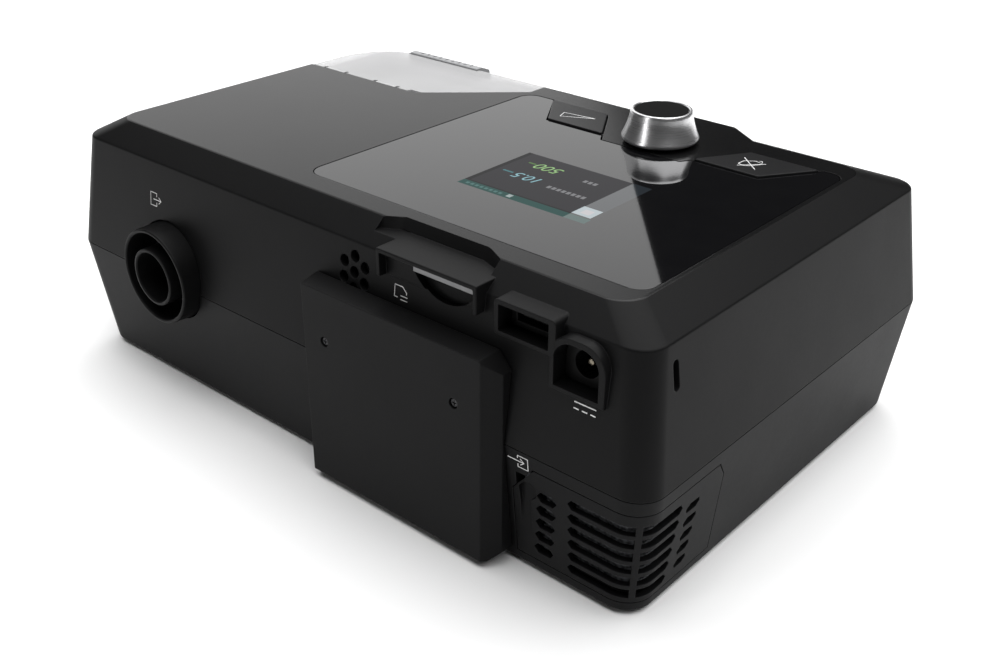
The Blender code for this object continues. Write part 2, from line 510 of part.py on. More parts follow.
TANK_ORIGIN = (74.5, -33.5, 9.0)
tub = box("tank_body", 27.5, 121.5, -79.0, 12.0, 10.7, 73.0, tank, TANK_ORIGIN, 9)
combine(tub, box("cut_tub", 29.5, 119.5, -77.0, 10.0, 12.7, 80, radius=7))
for number, px in enumerate(PORTS, 1):
    combine(tub, rod("cut_tub_port_%d" % number, px, TANK_PORT_Z - 1.4 * (number - 1), 8.5, 7, 15, "Y"))
box("tank_base", 36.5, 111.5, -60.5, -3.5, 8.9, 10.4, aluminium, TANK_ORIGIN, 3)
ring = box("tank_seal", 28.0, 121.0, -78.5, 11.5, 73.3, 74.7, silicone, TANK_ORIGIN, 8.5)
combine(ring, box("cut_ring", 30.5, 118.5, -76.0, 9.0, 72, 76, radius=6))
COVER = [(27.5, 75.0), (121.5, 75.0), (121.5, 77.0), (100.0, 80.8), (52.0, 80.8), (27.5, 77.0)]
tank_lid = extrude("tank_cover", COVER, -79.0, 12.0, "Y", tank_white, TANK_ORIGIN)
combine(tank_lid, loft("cut_cover", [(rectangle(34, 115, -72, 5, 4), 74.0),
                                     (rectangle(50, 102, -70, 3, 4), 78.8)]))
FRONT = [(-83.3, 8.5), (-87.2, PARTING_Z), (-82.5, 83.2), (-79.4, 83.2), (-79.4, 8.5)]
GRIP = [(-82.5, 73.0), (-94.4, 68.5), (-94.4, 59.5), (-91.8, 59.5), (-91.8, 65.0), (-82.5, 67.5)]
front = extrude("tank_front", FRONT, 24.6, 124.4, "X", casing_low, TANK_ORIGIN)
combine(front, extrude("grip", GRIP, 50, 99, "X"), "UNION")

duct_y = 61.6
turned("outlet_duct", [(9.5, 14.4), (9.5, duct_y), (12.0, duct_y), (12.0, 14.4)],
       (OUTLET_X, 0, OUTLET_Z), "Y", socket)

# Blower, its inlet muffler and the duct to the tank.
muffler = box("inlet_muffler", -84.5, -30.0, 2.0, 71.5, 9.0, 45.5, socket, radius=4)
combine(muffler, box("cut_muffler", -82.9, -31.6, 3.6, 69.9, 10.6, 43.9))
combine(muffler, box("cut_muffler_in", -90, -80, 51, 68, 13, 31))
combine(muffler, rod("cut_muffler_out", BLOWER_X, BLOWER_Y, 10.0, 40, 50))
box("muffler_foam", -80.0, -34.0, 38.0, 50.0, 11.0, 36.0, foam)


def volute(grow, reach):
    """Spiral scroll that opens into an outlet on +X."""
    points = []
    for k in range(20):
        a = math.radians(90 + 15 * k)
        radius = VOLUTE_R + grow + 5.0 * (19 - k) / 19.0
        points.append((BLOWER_X + radius * math.cos(a), BLOWER_Y + radius * math.sin(a)))
    points.append((BLOWER_X + 27.0 + grow, BLOWER_Y + 15.0 - grow))
    points.append((reach, BLOWER_Y + 15.0 - grow))
    points.append((reach, BLOWER_Y + VOLUTE_R + 5.0 + grow))
    return points


scroll = extrude("blower_housing", volute(0.0, -10.0), 49.0, 67.0, mat=white)
combine(scroll, extrude("cut_scroll", volute(-1.8, -5.0), 50.8, 70))
combine(scroll, rod("cut_inlet", BLOWER_X, BLOWER_Y, 11.0, 45, 55))
lid_plate = extrude("blower_cover", volute(0.0, -10.0), 67.3, 69.0, mat=white)
combine(lid_plate, rod("cut_cover_shaft", BLOWER_X, BLOWER_Y, 4.0, 60, 75))
wheel = turned("impeller", [(1.9, 52.5), (4.5, 52.5), (6.0, 62.0), (24.0, 64.0), (24.0, 65.4), (1.9, 65.4)],
               (BLOWER_X, BLOWER_Y, 0), "Z", white, 24, (BLOWER_X, BLOWER_Y, 60))
for number in range(9):
    a = 2 * math.pi * number / 9
    swept = [(6.0, 0.0), (14.0, 1.8), (23.6, 6.5), (23.2, 7.6), (13.6, 3.0), (5.6, 1.2)]
    blade = [(BLOWER_X + u * math.cos(a) - v * math.sin(a), BLOWER_Y + u * math.sin(a) + v * math.cos(a))
             for u, v in swept]
    combine(wheel, extrude("blade_%d" % number, blade, 53.5, 64.6), "UNION")
rod("motor_shaft", BLOWER_X, BLOWER_Y, 1.6, 52.0, 76.0, mat=zinc, steps=16, origin=(BLOWER_X, BLOWER_Y, 60))
MOTOR = [(2.0, 69.4), (15.0, 69.4), (16.0, 70.4), (16.0, 81.0), (14.5, 82.5), (0, 82.5), (0, 77.0),
         (2.0, 77.0)]
turned("motor_body", MOTOR, (BLOWER_X, BLOWER_Y, 0), "Z", zinc, 32)
for number, degrees in enumerate((90, 210, 330), 1):
    a = math.radians(degrees)
    mount_x, mount_y = BLOWER_X + 16.5 * math.cos(a), BLOWER_Y + 16.5 * math.sin(a)
    rod("blower_mount_%d" % number, mount_x, mount_y, 3.5, 45.8, 48.7, mat=rubber, steps=16)

pipe("tank_inlet_duct", [(-4.7, 44.5, 60.0), (2.0, 44.5, 60.0), (12.0, 44.0, 59.0), (24.0, 41.0, 56.0),
                         (33.0, 35.0, 52.5), (38.5, 27.0, 50.4), (PORTS[0], 19.0, TANK_PORT_Z),
                         (PORTS[0], 14.4, TANK_PORT_Z)], 8.2, 6.6, socket)

main = box("main_board", -112, 14, -66, -8, 12.0, 13.6, board)
combine(main, box("chip_a", -60, -36, -52, -28, 13.0, 16.0), "UNION")
combine(main, box("chip_b", -98, -84, -40, -20, 13.0, 22.0), "UNION")
combine(main, box("connector", -20, 4, -60, -50, 13.0, 21.0), "UNION")
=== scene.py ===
import contextlib
import math

import bmesh
import bpy
from mathutils import Matrix, Vector


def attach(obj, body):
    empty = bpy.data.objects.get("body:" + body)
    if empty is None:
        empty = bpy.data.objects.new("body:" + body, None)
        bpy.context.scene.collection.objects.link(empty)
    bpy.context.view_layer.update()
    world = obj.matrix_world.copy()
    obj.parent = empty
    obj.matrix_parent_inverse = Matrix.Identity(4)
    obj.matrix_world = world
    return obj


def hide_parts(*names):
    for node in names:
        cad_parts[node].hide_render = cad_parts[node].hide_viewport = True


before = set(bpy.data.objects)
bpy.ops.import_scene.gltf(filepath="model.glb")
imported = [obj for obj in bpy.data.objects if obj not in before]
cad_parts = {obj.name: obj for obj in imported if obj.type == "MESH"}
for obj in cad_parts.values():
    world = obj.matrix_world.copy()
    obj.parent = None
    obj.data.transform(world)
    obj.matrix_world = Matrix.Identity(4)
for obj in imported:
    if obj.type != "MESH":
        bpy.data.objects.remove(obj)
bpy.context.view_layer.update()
MM = 0.001


# Table and studio. The machine stands on a plain pale table under one wide soft light. A second
# panel low in front of it is what the glass and the deck mirror, and two narrow upright ones give
# the turned knob its soft lights.

class Reading:
    """One value in a material. Plain arithmetic on it adds Math nodes, and node() adds any other node."""

    def __init__(self, socket):
        self.socket = socket

    def node(self, kind, settings=None, inputs=None, output=0):
        tree = self.socket.id_data
        made = tree.nodes.new(kind)
        for name, value in (settings or {}).items():
            if name == "stops":
                stops = made.color_ramp.elements
                for place, _ in value[1:-1]:
                    stops.new(place)
                for stop, (place, colour) in zip(stops, value):
                    stop.position = place
                    stop.color = (*colour, 1.0)
            else:
                setattr(made, name, value)
        for name, value in (inputs or {}).items():
            if isinstance(value, Reading):
                tree.links.new(value.socket, made.inputs[name])
            else:
                made.inputs[name].default_value = value
        return Reading(made.outputs[output])

    def sum(self, operation, first, second):
        return self.node("ShaderNodeMath", {"operation": operation}, {0: first, 1: second})

    def __add__(self, other):
        return self.sum("ADD", self, other)

    def __radd__(self, other):
        return self.sum("ADD", other, self)

    def __sub__(self, other):
        return self.sum("SUBTRACT", self, other)

    def __rsub__(self, other):
        return self.sum("SUBTRACT", other, self)

    def __mul__(self, other):
        return self.sum("MULTIPLY", self, other)

    def __rmul__(self, other):
        return self.sum("MULTIPLY", other, self)

    def __gt__(self, other):
        return self.sum("GREATER_THAN", self, other)

    def __lt__(self, other):
        return self.sum("LESS_THAN", self, other)

    def held(self):
        """The value kept between 0 and 1."""
        return self.node("ShaderNodeClamp", None, {"Value": self})

    def tint(self, first, second):
        """From the first colour at 0 to the second at 1."""
        settings = {"data_type": "RGBA"}
        return self.node("ShaderNodeMix", settings, {0: self, 6: first, 7: second}, 2)

    def noise(self, size, detail=2.0):
        """Cloudy value from 0 to 1 with patches of that many millimetres, at this place."""
        inputs = {"Vector": self, "Scale": 1000.0 / size, "Detail": detail}
        return self.node("ShaderNodeTexNoise", None, inputs)

    def axis(self, letter):
        """X, Y or Z of this place, in millimetres."""
        return self.node("ShaderNodeSeparateXYZ", None, {0: self}, letter) * 1000.0


def finish(name, plain):
    """A new material with these plain values on its shader: (material, shader inputs, place)."""
    made = bpy.data.materials.new(name)
    made.use_nodes = True
    shader = made.node_tree.nodes["Principled BSDF"]
    for socket, value in plain.items():
        shader.inputs[socket].default_value = value
    coordinates = made.node_tree.nodes.new("ShaderNodeTexCoord")
    return made, shader.inputs, Reading(coordinates.outputs["Object"])


def feed(inputs, **values):
    """Links values to the shader: Base_Color=colour stands for the socket Base Color."""
    for name, value in values.items():
        socket = inputs[name.replace("_", " ")]
        socket.id_data.links.new(value.socket, socket)


bpy.ops.object.select_all(action="DESELECT")
bpy.ops.mesh.primitive_plane_add(size=9.0, location=(0.0, 0.0, 0.0))
table_top = bpy.context.object
table_top.name = "table_top"
table_paint, sockets, place = finish("table_paint", {"Roughness": 0.75, "Specular IOR Level": 0.15})
feed(sockets, Base_Color=place.noise(90.0).tint((0.90, 0.90, 0.90, 1), (0.93, 0.93, 0.93, 1)))
table_top.data.materials.append(table_paint)


def soft_panel(name, centre, across, up, width, height, power):
    """A soft light panel; across and up are its own directions, and it shines along up x across."""
    data = bpy.data.lights.new(name, "AREA")
    data.shape = "RECTANGLE"
    data.size, data.size_y = width, height
    data.energy = power
    panel = bpy.data.objects.new(name, data)
    bpy.context.collection.objects.link(panel)
    x = Vector(across).normalized()
    y = (Vector(up) - x * Vector(up).dot(x)).normalized()
    z = x.cross(y)
    panel.matrix_world = Matrix.Translation(centre) @ Matrix((x, y, z)).transposed().to_4x4()
    return panel


soft_panel("ceiling_panel", (-0.45, -0.45, 1.7), (1, 0, 0), (0, 1, 0), 2.8, 2.8, 78.0)
edge_low, edge_high = Vector((0.783, -1.204, 0.578)), Vector((0.629, -1.100, 0.724))
panel_up = (edge_high - edge_low).normalized()
panel_out = Vector((0.66, -0.66, 0.36)).normalized()
panel_side = panel_up.cross(panel_out).normalized()
panel_centre = (edge_low + edge_high) / 2 + panel_side * 0.85
soft_panel("back_panel", panel_centre, panel_side, panel_up, 1.7, 2.2, 15.0)
soft_panel("strip_outlet_side", (0.50, 1.52, 0.45), (-0.95, 0.31, 0.0), (0, 0, 1), 0.22, 1.2, 3.5)
soft_panel("strip_far_side", (-1.59, -0.18, 0.45), (-0.11, 0.99, 0.0), (0, 0, 1), 0.22, 1.2, 3.0)

world = bpy.data.worlds.new("studio")
world.use_nodes = True
world.node_tree.nodes["Background"].inputs["Color"].default_value = (1.0, 1.0, 1.0, 1.0)
world.node_tree.nodes["Background"].inputs["Strength"].default_value = 0.02
bpy.context.scene.world = world
bpy.context.scene.view_settings.view_transform = "Standard"

camera_data = bpy.data.cameras.new("camera")
camera_data.lens = 43.64
camera_data.sensor_width = 36.0
camera_data.shift_x = 0.0012
camera_data.clip_start = 0.01
camera = bpy.data.objects.new("camera", camera_data)
bpy.context.collection.objects.link(camera)
turn, tilt, roll = math.radians(220.74), math.radians(90.0 - 28.28), math.radians(0.48)
camera.matrix_world = (Matrix.Translation((-0.27708, 0.31167, 0.24080)) @ Matrix.Rotation(turn, 4, "Z")
                       @ Matrix.Rotation(tilt, 4, "X") @ Matrix.Rotation(roll, 4, "Z"))
bpy.context.scene.camera = camera


# Upper casing. One deep moulding in black ABS: drafted walls, a sloped shoulder and the flat
# deck, with hoods over the sockets grown out of its back. The walls are spark-textured, and
# the deck is polished to a satin.

@contextlib.contextmanager
def picked(piece, kind, wanted=None):
    """Edit mode on a piece with only those faces, edges or corners selected that are wanted, by the
    middle (millimetres) and the direction of each; everything where nothing is asked for."""
    bpy.ops.object.select_all(action="DESELECT")
    piece.select_set(True)
    bpy.context.view_layer.objects.active = piece
    bpy.ops.object.mode_set(mode="EDIT")
    bpy.ops.mesh.select_mode(type=kind)
    bpy.ops.mesh.select_all(action="SELECT" if wanted is None else "DESELECT")
    if wanted:
        shape = bmesh.from_edit_mesh(piece.data)
        for part in {"VERT": shape.verts, "EDGE": shape.edges, "FACE": shape.faces}[kind]:
            corners = [part] if kind == "VERT" else list(part.verts)
            middle = sum((v.co for v in corners), Vector()) / len(corners) * 1000.0
            along = (corners[-1].co - corners[0].co).normalized() if kind == "EDGE" else part.normal
            if wanted(middle, along):
                part.select_set(True)
        shape.select_flush_mode()
        bmesh.update_edit_mesh(piece.data)
    yield bmesh.from_edit_mesh(piece.data)
    bpy.ops.object.mode_set(mode="OBJECT")


def arc_corners(corners, steps=8):
    """An outline whose corners (x, y, radius) are drawn as arcs."""
    line = []
    for i, (x, y, radius) in enumerate(corners):
        here = Vector((x, y))
        if radius == 0.0:
            line.append((x, y))
            continue
        before = (Vector(corners[i - 1][:2]) - here).normalized()
        after = (Vector(corners[(i + 1) % len(corners)][:2]) - here).normalized()
        half = before.angle(after) / 2.0
        centre = here + (before + after).normalized() * (radius / math.sin(half))
        start = here + before * (radius / math.tan(half)) - centre
        sweep = start.angle_signed(here + after * (radius / math.tan(half)) - centre)
        for k in range(steps + 1):
            line.append(tuple(centre + Matrix.Rotation(-sweep * k / steps, 2) @ start))
    return line


def oblong(x0, x1, y0, y1, radius=0.0, steps=8):
    return arc_corners([(x1, y1, radius), (x0, y1, radius), (x0, y0, radius), (x1, y0, radius)], steps)


def raised(name, rings):
    """A solid drawn up ring by ring: a filled circle is laid on the first ring, and each further ring
    is an extrusion of the last face whose corners are moved to their places (millimetres)."""
    bpy.ops.object.select_all(action="DESELECT")
    bpy.ops.mesh.primitive_circle_add(vertices=len(rings[0]), radius=1.0, fill_type="NGON")
    piece = bpy.context.object
    piece.name = name
    for vertex, spot in zip(piece.data.vertices, rings[0]):
        vertex.co = Vector(spot) * MM
    with picked(piece, "FACE") as shape:
        for below, above in zip(rings, rings[1:]):
            bpy.ops.mesh.extrude_region_move(TRANSFORM_OT_translate={"value": (0.0, 0.0, 10.0)})
            shape = bmesh.from_edit_mesh(piece.data)
            lifted = [v for v in shape.verts if v.select]
            for spot, goal in zip(below, above):
                start = Vector(spot) * MM + Vector((0.0, 0.0, 10.0))
                nearest = min(lifted, key=lambda v: (v.co - start).length_squared)
                nearest.co = Vector(goal) * MM
                lifted.remove(nearest)
            bmesh.update_edit_mesh(piece.data)
        bpy.ops.mesh.select_all(action="SELECT")
        bpy.ops.mesh.normals_make_consistent(inside=False)
        if bmesh.from_edit_mesh(piece.data).calc_volume(signed=True) < 0.0:
            bpy.ops.mesh.flip_normals()
    return piece


def plate(name, outline, low, high, axis="Z"):
    """A plate between two levels; its outline is (x, y) for Z, (x, z) for Y and (y, z) for X."""
    put = {"Z": lambda a, b, c: (a, b, c), "Y": lambda a, b, c: (a, c, b), "X": lambda a, b, c: (c, a, b)}
    return raised(name, [[put[axis](a, b, level) for a, b in outline] for level in (low, high)])


def brick(name, x, y, z, radius=0.0):
    """A block from its X, Y and Z limits, with all its edges rounded."""
    bpy.ops.object.select_all(action="DESELECT")
    size = [(high - low) * MM for low, high in (x, y, z)]
    centre = [(high + low) * MM / 2 for low, high in (x, y, z)]
    bpy.ops.mesh.primitive_cube_add(size=1.0, location=centre, scale=size)
    bpy.ops.object.transform_apply(location=True, rotation=True, scale=True)
    piece = bpy.context.object
    piece.name = name
    if radius:
        with picked(piece, "EDGE"):
            bpy.ops.mesh.bevel(offset=radius * MM, segments=3, affect="EDGES")
    return piece


def drill(name, spot, radius, low, high, axis="Z", sides=32):
    """A round cutter along an axis; spot is its centre across that axis."""
    circle = [(spot[0] + radius * math.cos(2 * math.pi * k / sides),
               spot[1] + radius * math.sin(2 * math.pi * k / sides)) for k in range(sides)]
    return plate(name, circle, low, high, axis)


def work(piece, tool, how="DIFFERENCE"):
    """Cuts with a tool, or joins it on, and uses it up."""
    bpy.ops.object.select_all(action="DESELECT")
    bpy.context.view_layer.objects.active = piece
    step = piece.modifiers.new("work", "BOOLEAN")
    step.operation = how
    step.solver = "EXACT"
    step.object = tool
    bpy.ops.object.modifier_apply(modifier="work")
    bpy.data.objects.remove(tool)
    return piece


def wall(z):
    """Half length and half width of the drafted case walls at a height."""
    low, high, t = ((131.5, 82.7), (136.0, 87.4), (z - 1.5) / 43.3)
    if z > 44.8:
        low, high, t = ((136.0, 87.4), (130.2, 81.9), (z - 44.8) / 42.8)
    return low[0] + (high[0] - low[0]) * t, low[1] + (high[1] - low[1]) * t


def wall_ring(z, inset=0.0, steps=10):
    half_x, half_y = wall(z)
    half_x, half_y = half_x - inset, half_y - inset
    outline = oblong(-half_x, half_x, -half_y, half_y, max(9.3 - inset, 0.8), steps)
    return [(x, y, z) for x, y in outline]


def smooth(piece, angle=32.0):
    bpy.ops.object.select_all(action="DESELECT")
    piece.select_set(True)
    bpy.context.view_layer.objects.active = piece
    bpy.ops.object.shade_smooth_by_angle(angle=math.radians(angle))
    level = piece.modifiers.new("level", "WEIGHTED_NORMAL")
    level.keep_sharp = True
    level.weight = 100
    bpy.ops.object.modifier_apply(modifier="level")


def coat(material, *names):
    """Puts a material on CAD pieces that are shown as they are."""
    for name in names:
        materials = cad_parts[name].data.materials
        materials.clear()
        materials.append(material)


def mount(piece, material, body, slot, *nodes):
    """Gives a finished piece its material and body, and hides the CAD nodes that it stands for. The slot argument
    is not used.
    """
    smooth(piece)
    piece.data.materials.clear()
    piece.data.materials.append(material)
    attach(piece, body)
    if nodes:
        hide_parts(*nodes)
    return piece


def moulded(name, colour, roughness, grain=0.35, depth=0.012, shine=0.09, edge_highlight_gain=2.2, edge=0.35):
    """Moulded plastic: spark texture, faint flow clouds, and rounded edges with a painted highlight that makes them
    a little lighter.
    """
    plain = {"Roughness": roughness, "Specular IOR Level": shine}
    made, sockets, place = finish(name, plain)
    soft_edge = place.node("ShaderNodeBevel", {"samples": 6}, {"Radius": edge * MM})
    facing = place.node("ShaderNodeNewGeometry", None, None, "Normal")
    straight = place.node("ShaderNodeVectorMath", {"operation": "DOT_PRODUCT"}, {0: soft_edge, 1: facing}, "Value")
    # Painted highlight: the colour turns lighter, and the roughness lower, where the rounded edges bend away from
    # the face.
    edge_highlight = ((1.0 - straight) * edge_highlight_gain).held()
    clouds = place.noise(22.0, 3.0)
    shade = clouds.tint([c * 0.86 for c in colour] + [1], [c * 1.14 for c in colour] + [1])
    light = [min(c * 2.6 + 0.012, 1.0) for c in colour] + [1]
    feed(sockets, Base_Color=edge_highlight.tint(shade, light))
    feed(sockets, Roughness=roughness - 0.05 + clouds * 0.08 + place.noise(1.6) * 0.05 - edge_highlight * 0.08)
    sparks = place.noise(grain, 3.0)
    inputs = {"Height": sparks, "Normal": soft_edge, "Strength": 0.5, "Distance": depth * MM}
    feed(sockets, Normal=place.node("ShaderNodeBump", None, inputs))
    return made, sockets, place


DECK_POLISH = 94.7
casing_black, sockets, place = moulded("casing_black", (0.0050, 0.0050, 0.0052), 0.44)
polished = place.axis("Z") > DECK_POLISH
casing_sheen = sockets["Roughness"].links[0].from_socket
feed(sockets, Roughness=Reading(casing_sheen) - polished * 0.24)
sockets["Coat Roughness"].default_value = 0.14
feed(sockets, Coat_Weight=polished * 0.10)

upper = raised("upper_shell", [
    wall_ring(44.95), wall_ring(87.6),
    [(x, y, 94.9) for x, y in oblong(-117.2, 117.2, -62.7, 73.4, 8.5, 10)]])
with picked(upper, "EDGE", lambda m, d: m.z > 87.0 and abs(d.z) < 0.1):
    bpy.ops.mesh.bevel(offset=0.55 * MM, segments=3, affect="EDGES")
work(upper, raised("hollow", [
    [(x * 0.9815, y * 0.9714, 40.0) for x, y, z in wall_ring(44.95)],
    [(x * 0.9815, y * 0.9714, 44.9) for x, y, z in wall_ring(44.95)],
    [(x, y, 86.6) for x, y in oblong(-127.8, 127.8, -79.5, 79.5, 7.0, 10)],
    [(x, y, 91.6) for x, y in oblong(-114.6, 114.6, -60.2, 70.9, 6.0, 10)]]))
step = raised("step", [
    [(-84.0, -66.0, 88.2), (-64.0, -80.4, 88.2), (-25.0, -80.4, 88.2), (-14.0, -66.0, 88.2)],
    [(-76.0, -62.0, 94.9), (-61.0, -72.0, 94.9), (-28.1, -72.0, 94.9), (-19.7, -62.0, 94.9)]])
with picked(step, "EDGE", lambda m, d: m.y < -62.5 and m.z > 88.5):
    bpy.ops.mesh.bevel(offset=0.7 * MM, segments=3, affect="EDGES")
work(upper, step, "UNION")
housing = brick("card_housing", (-74.4, -34.0), (62.0, 86.3), (82.0, 91.2), 0.45)
work(housing, plate("card_recess", oblong(-73.2, -35.4, 80.0, 89.9, 0.6), 83.3, 90.0, "Y"))
work(upper, housing, "UNION")
hood = plate("port_hood", oblong(-102.6, -80.6, 78.8, 90.0, 1.5), 60.0, 85.9, "Y")
with picked(hood, "EDGE", lambda m, d: m.y > 85.5):
    bpy.ops.mesh.bevel(offset=0.35 * MM, segments=2, affect="EDGES")
work(upper, hood, "UNION")
arch = arc_corners([(-100.4, 69.0, 0), (-119.4, 69.0, 0), (-119.4, 86.6, 7.5), (-100.4, 86.6, 7.5)], 10)
hood = plate("power_hood", arch, 60.0, 85.7, "Y")
with picked(hood, "EDGE", lambda m, d: m.y > 85.5):
    bpy.ops.mesh.bevel(offset=0.35 * MM, segments=2, affect="EDGES")
work(upper, hood, "UNION")
glass_pocket = arc_corners([
    (21.9, 64.5, 6.3), (-116.0, 64.5, 6.3), (-116.0, -52.6, 5.3), (-107.7, -52.6, 1), (-94.6, -31.7, 1),
    (-68.5, -31.7, 1), (-65.9, -27.5, 1), (-33.1, -27.5, 1), (-30.5, -31.7, 1), (-4.4, -31.7, 1),
    (8.7, -52.6, 1), (21.9, -52.6, 6.3)], 8)
work(upper, plate("glass_pocket", glass_pocket, 93.3, 98.0))
work(upper, brick("screen_pocket", (-75.5, -19.5), (-3.5, 42.5), (85.0, 98.0)))
ramp_hole = [(8.7, -51.2, 1), (-4.4, -31.55, 1), (-30.6, -31.55, 1), (-18.6, -51.2, 1)]
mute_hole = [(-99.0 - x, y, r) for x, y, r in ramp_hole][::-1]
work(upper, plate("ramp_hole", arc_corners(ramp_hole, 4), 80.0, 98.0))
work(upper, plate("mute_hole", arc_corners(mute_hole, 4), 80.0, 98.0))
work(upper, drill("shaft_hole", (-49.5, -40.0), 4.2, 80.0, 98.0))
lid_hole = [(22.0, -110.0, 0), (150.0, -110.0, 0), (150.0, -22.0, 0), (59.4, -22.0, 1.5), (55.0, -23.3, 2),
            (22.0, -53.9, 2)]
work(upper, plate("lid_hole", arc_corners(lid_hole, 6), 83.6, 100.0))
work(upper, brick("tank_opening", (24.0, 125.0), (-100.0, -76.0), (30.0, 85.0)))
for hinge_x in (73.0, 103.0):
    for low, high in ((hinge_x - 6.9, hinge_x - 5.7), (hinge_x + 5.7, hinge_x + 6.9)):
        ear = [(-20.5, 92.2), (-20.5, 94.8), (-23.3, 94.85), (-23.7, 94.6), (-23.8, 93.9), (-22.9, 92.9)]
        work(upper, plate("ear", ear, low, high, "X"), "UNION")
    work(upper, drill("pin_bore", (-22.9, 94.2), 0.62, hinge_x - 6.6, hinge_x + 6.6, "X", 16))
work(upper, drill("outlet_hole", (76.0, 48.6), 18.8, 60.0, 110.0, "Y", 96))
work(upper, raised("back_notch", [
    [(-72.4, 90.0, 91.2), (-72.4, 74.4, 91.2), (-64.3, 71.6, 91.2), (-31.1, 71.6, 91.2), (-24.9, 75.0, 91.2),
     (-24.9, 90.0, 91.2)],
    [(-72.4, 90.0, 96.0), (-72.4, 73.2, 96.0), (-64.3, 69.0, 96.0), (-31.1, 69.2, 96.0), (-24.9, 73.2, 96.0),
     (-24.9, 90.0, 96.0)]]))
work(upper, brick("card_slot", (-72.0, -47.2), (60.0, 95.0), (86.6, 89.5)))
scoop = [math.radians(-30.2 - 119.6 * k / 24) for k in range(25)]
scoop = [(-59.6 + 14.3 * math.cos(a), 94.0 + 14.3 * math.sin(a)) for a in scoop]
work(upper, plate("thumb_scoop", scoop, 80.6, 95.0, "Y"))
work(upper, plate("port_pocket", oblong(-100.2, -82.2, 80.2, 88.5, 0.4), 70.0, 95.0, "Y"))
pocket = arc_corners([(-102.0, 70.4, 0), (-117.4, 70.4, 0), (-117.4, 84.8, 6), (-102.0, 84.8, 6)], 10)
work(upper, plate("power_pocket", pocket, 70.0, 95.0, "Y"))
for number in range(7):
    around = math.radians(30 + 60 * number)
    reach = 5.3 if number < 6 else 0.0
    spot = (-20.8 + reach * math.cos(around), 77.6 + reach * math.sin(around))
    work(upper, drill("speaker_hole", spot, 2.0, 70.0, 95.0, "Y", 24))
work(upper, plate("side_slot", oblong(68.8, 71.6, 73.3, 82.6, 1.39, 6), -140.0, -128.0, "X"))
mount(upper, casing_black, "case", "casing_black", "upper_casing")


# Lower casing. The tray that carries everything: the same drafted walls, a shallow dovetail of gap
# below the upper casing, screw wells and foot pockets underneath, and the filter well in a corner.

lower_black, sockets, place = moulded("lower_casing_black", (0.0054, 0.0054, 0.0057), 0.46, grain=0.42)
lower = raised("lower_shell", [wall_ring(1.5), wall_ring(44.65)])
with picked(lower, "EDGE", lambda m, d: m.z < 1.6):
    bpy.ops.mesh.bevel(offset=1.0 * MM, segments=3, affect="EDGES")


def tray_ring(z, height):
    half_x, half_y = wall(z)
    half_x, half_y = half_x - 2.5, half_y - 2.5
    outline = arc_corners([(half_x, half_y, 7), (-86.0, half_y, 1), (-86.0, 41.0, 2), (-half_x, 41.0, 1),
                           (-half_x, -half_y, 7), (half_x, -half_y, 7)])
    return [(x, y, height) for x, y in outline]


work(lower, raised("tray", [tray_ring(4.3, 4.3), tray_ring(44.0, 44.0), tray_ring(44.0, 48.0)]))
for boss_x, boss_y in ((-120.0, -71.0), (13.0, -75.0), (118.0, 72.0), (-78.0, 77.0)):
    work(lower, drill("boss", (boss_x, boss_y), 4.3, 3.0, 43.5), "UNION")
    work(lower, drill("screw_well", (boss_x, boss_y), 3.7, -1.0, 4.4))
    work(lower, drill("screw_bore", (boss_x, boss_y), 1.95, 4.0, 20.0))
FOOT_SPOTS = ((-106.0, -60.0), (106.0, -60.0), (-106.0, 62.0), (104.0, 60.0))
for spot in FOOT_SPOTS:
    work(lower, drill("foot_pocket", spot, 7.3, -1.0, 2.4, "Z", 48))
for vent in range(9):
    outline = oblong(-20.0, 12.0, -44.0 + 6.0 * vent, -41.6 + 6.0 * vent, 1.19, 6)
    work(lower, plate("floor_vent", outline, -1.0, 6.0))


def corner_patch(grow):
    """The patch round the corner that the filter cover fills, as seen from the back and from the side."""
    low, high = 5.4 - grow, 39.7 + grow
    back = [(-88.7 + grow, low), (-88.7 + grow, 30.0), (-97.0 + grow, high), (-145.0, high), (-145.0, low)]
    side = [(44.0 - grow, low), (110.0, low), (110.0, high), (48.2 - grow, high), (44.6 - grow, 34.5)]
    patch = plate("patch", back, 30.0, 100.0, "Y")
    return work(patch, plate("patch_side", side, -150.0, -70.0, "X"), "INTERSECT")


ledge = corner_patch(0.35)
work(ledge, raised("ledge_core", [wall_ring(-1.0, 2.5), wall_ring(44.8, 2.5)]))
work(lower, ledge)
work(lower, brick("filter_chamber", (-145.0, -90.0), (46.5, 100.0), (7.6, 36.6)))
work(lower, brick("inlet_port", (-95.0, -80.0), (50.0, 69.0), (12.0, 32.0)))
work(lower, brick("tank_opening", (24.0, 125.0), (-100.0, -76.0), (8.0, 60.0)))
work(lower, drill("outlet_hole", (76.0, 48.6), 18.8, 60.0, 110.0, "Y", 96))
mount(lower, lower_black, "case", "casing_black", "lower_casing")


# Filter cover. A clip-on moulding that wraps the back corner, with rows of slots for the room air
# and a finger recess at its inner edge. The foam pad sits behind it.

cover = raised("filter_grille", [wall_ring(0.0), wall_ring(44.0)])
work(cover, corner_patch(0.0), "INTERSECT")
work(cover, raised("cover_core", [wall_ring(-1.0, 2.1, 14), wall_ring(44.8, 2.1, 14)]))


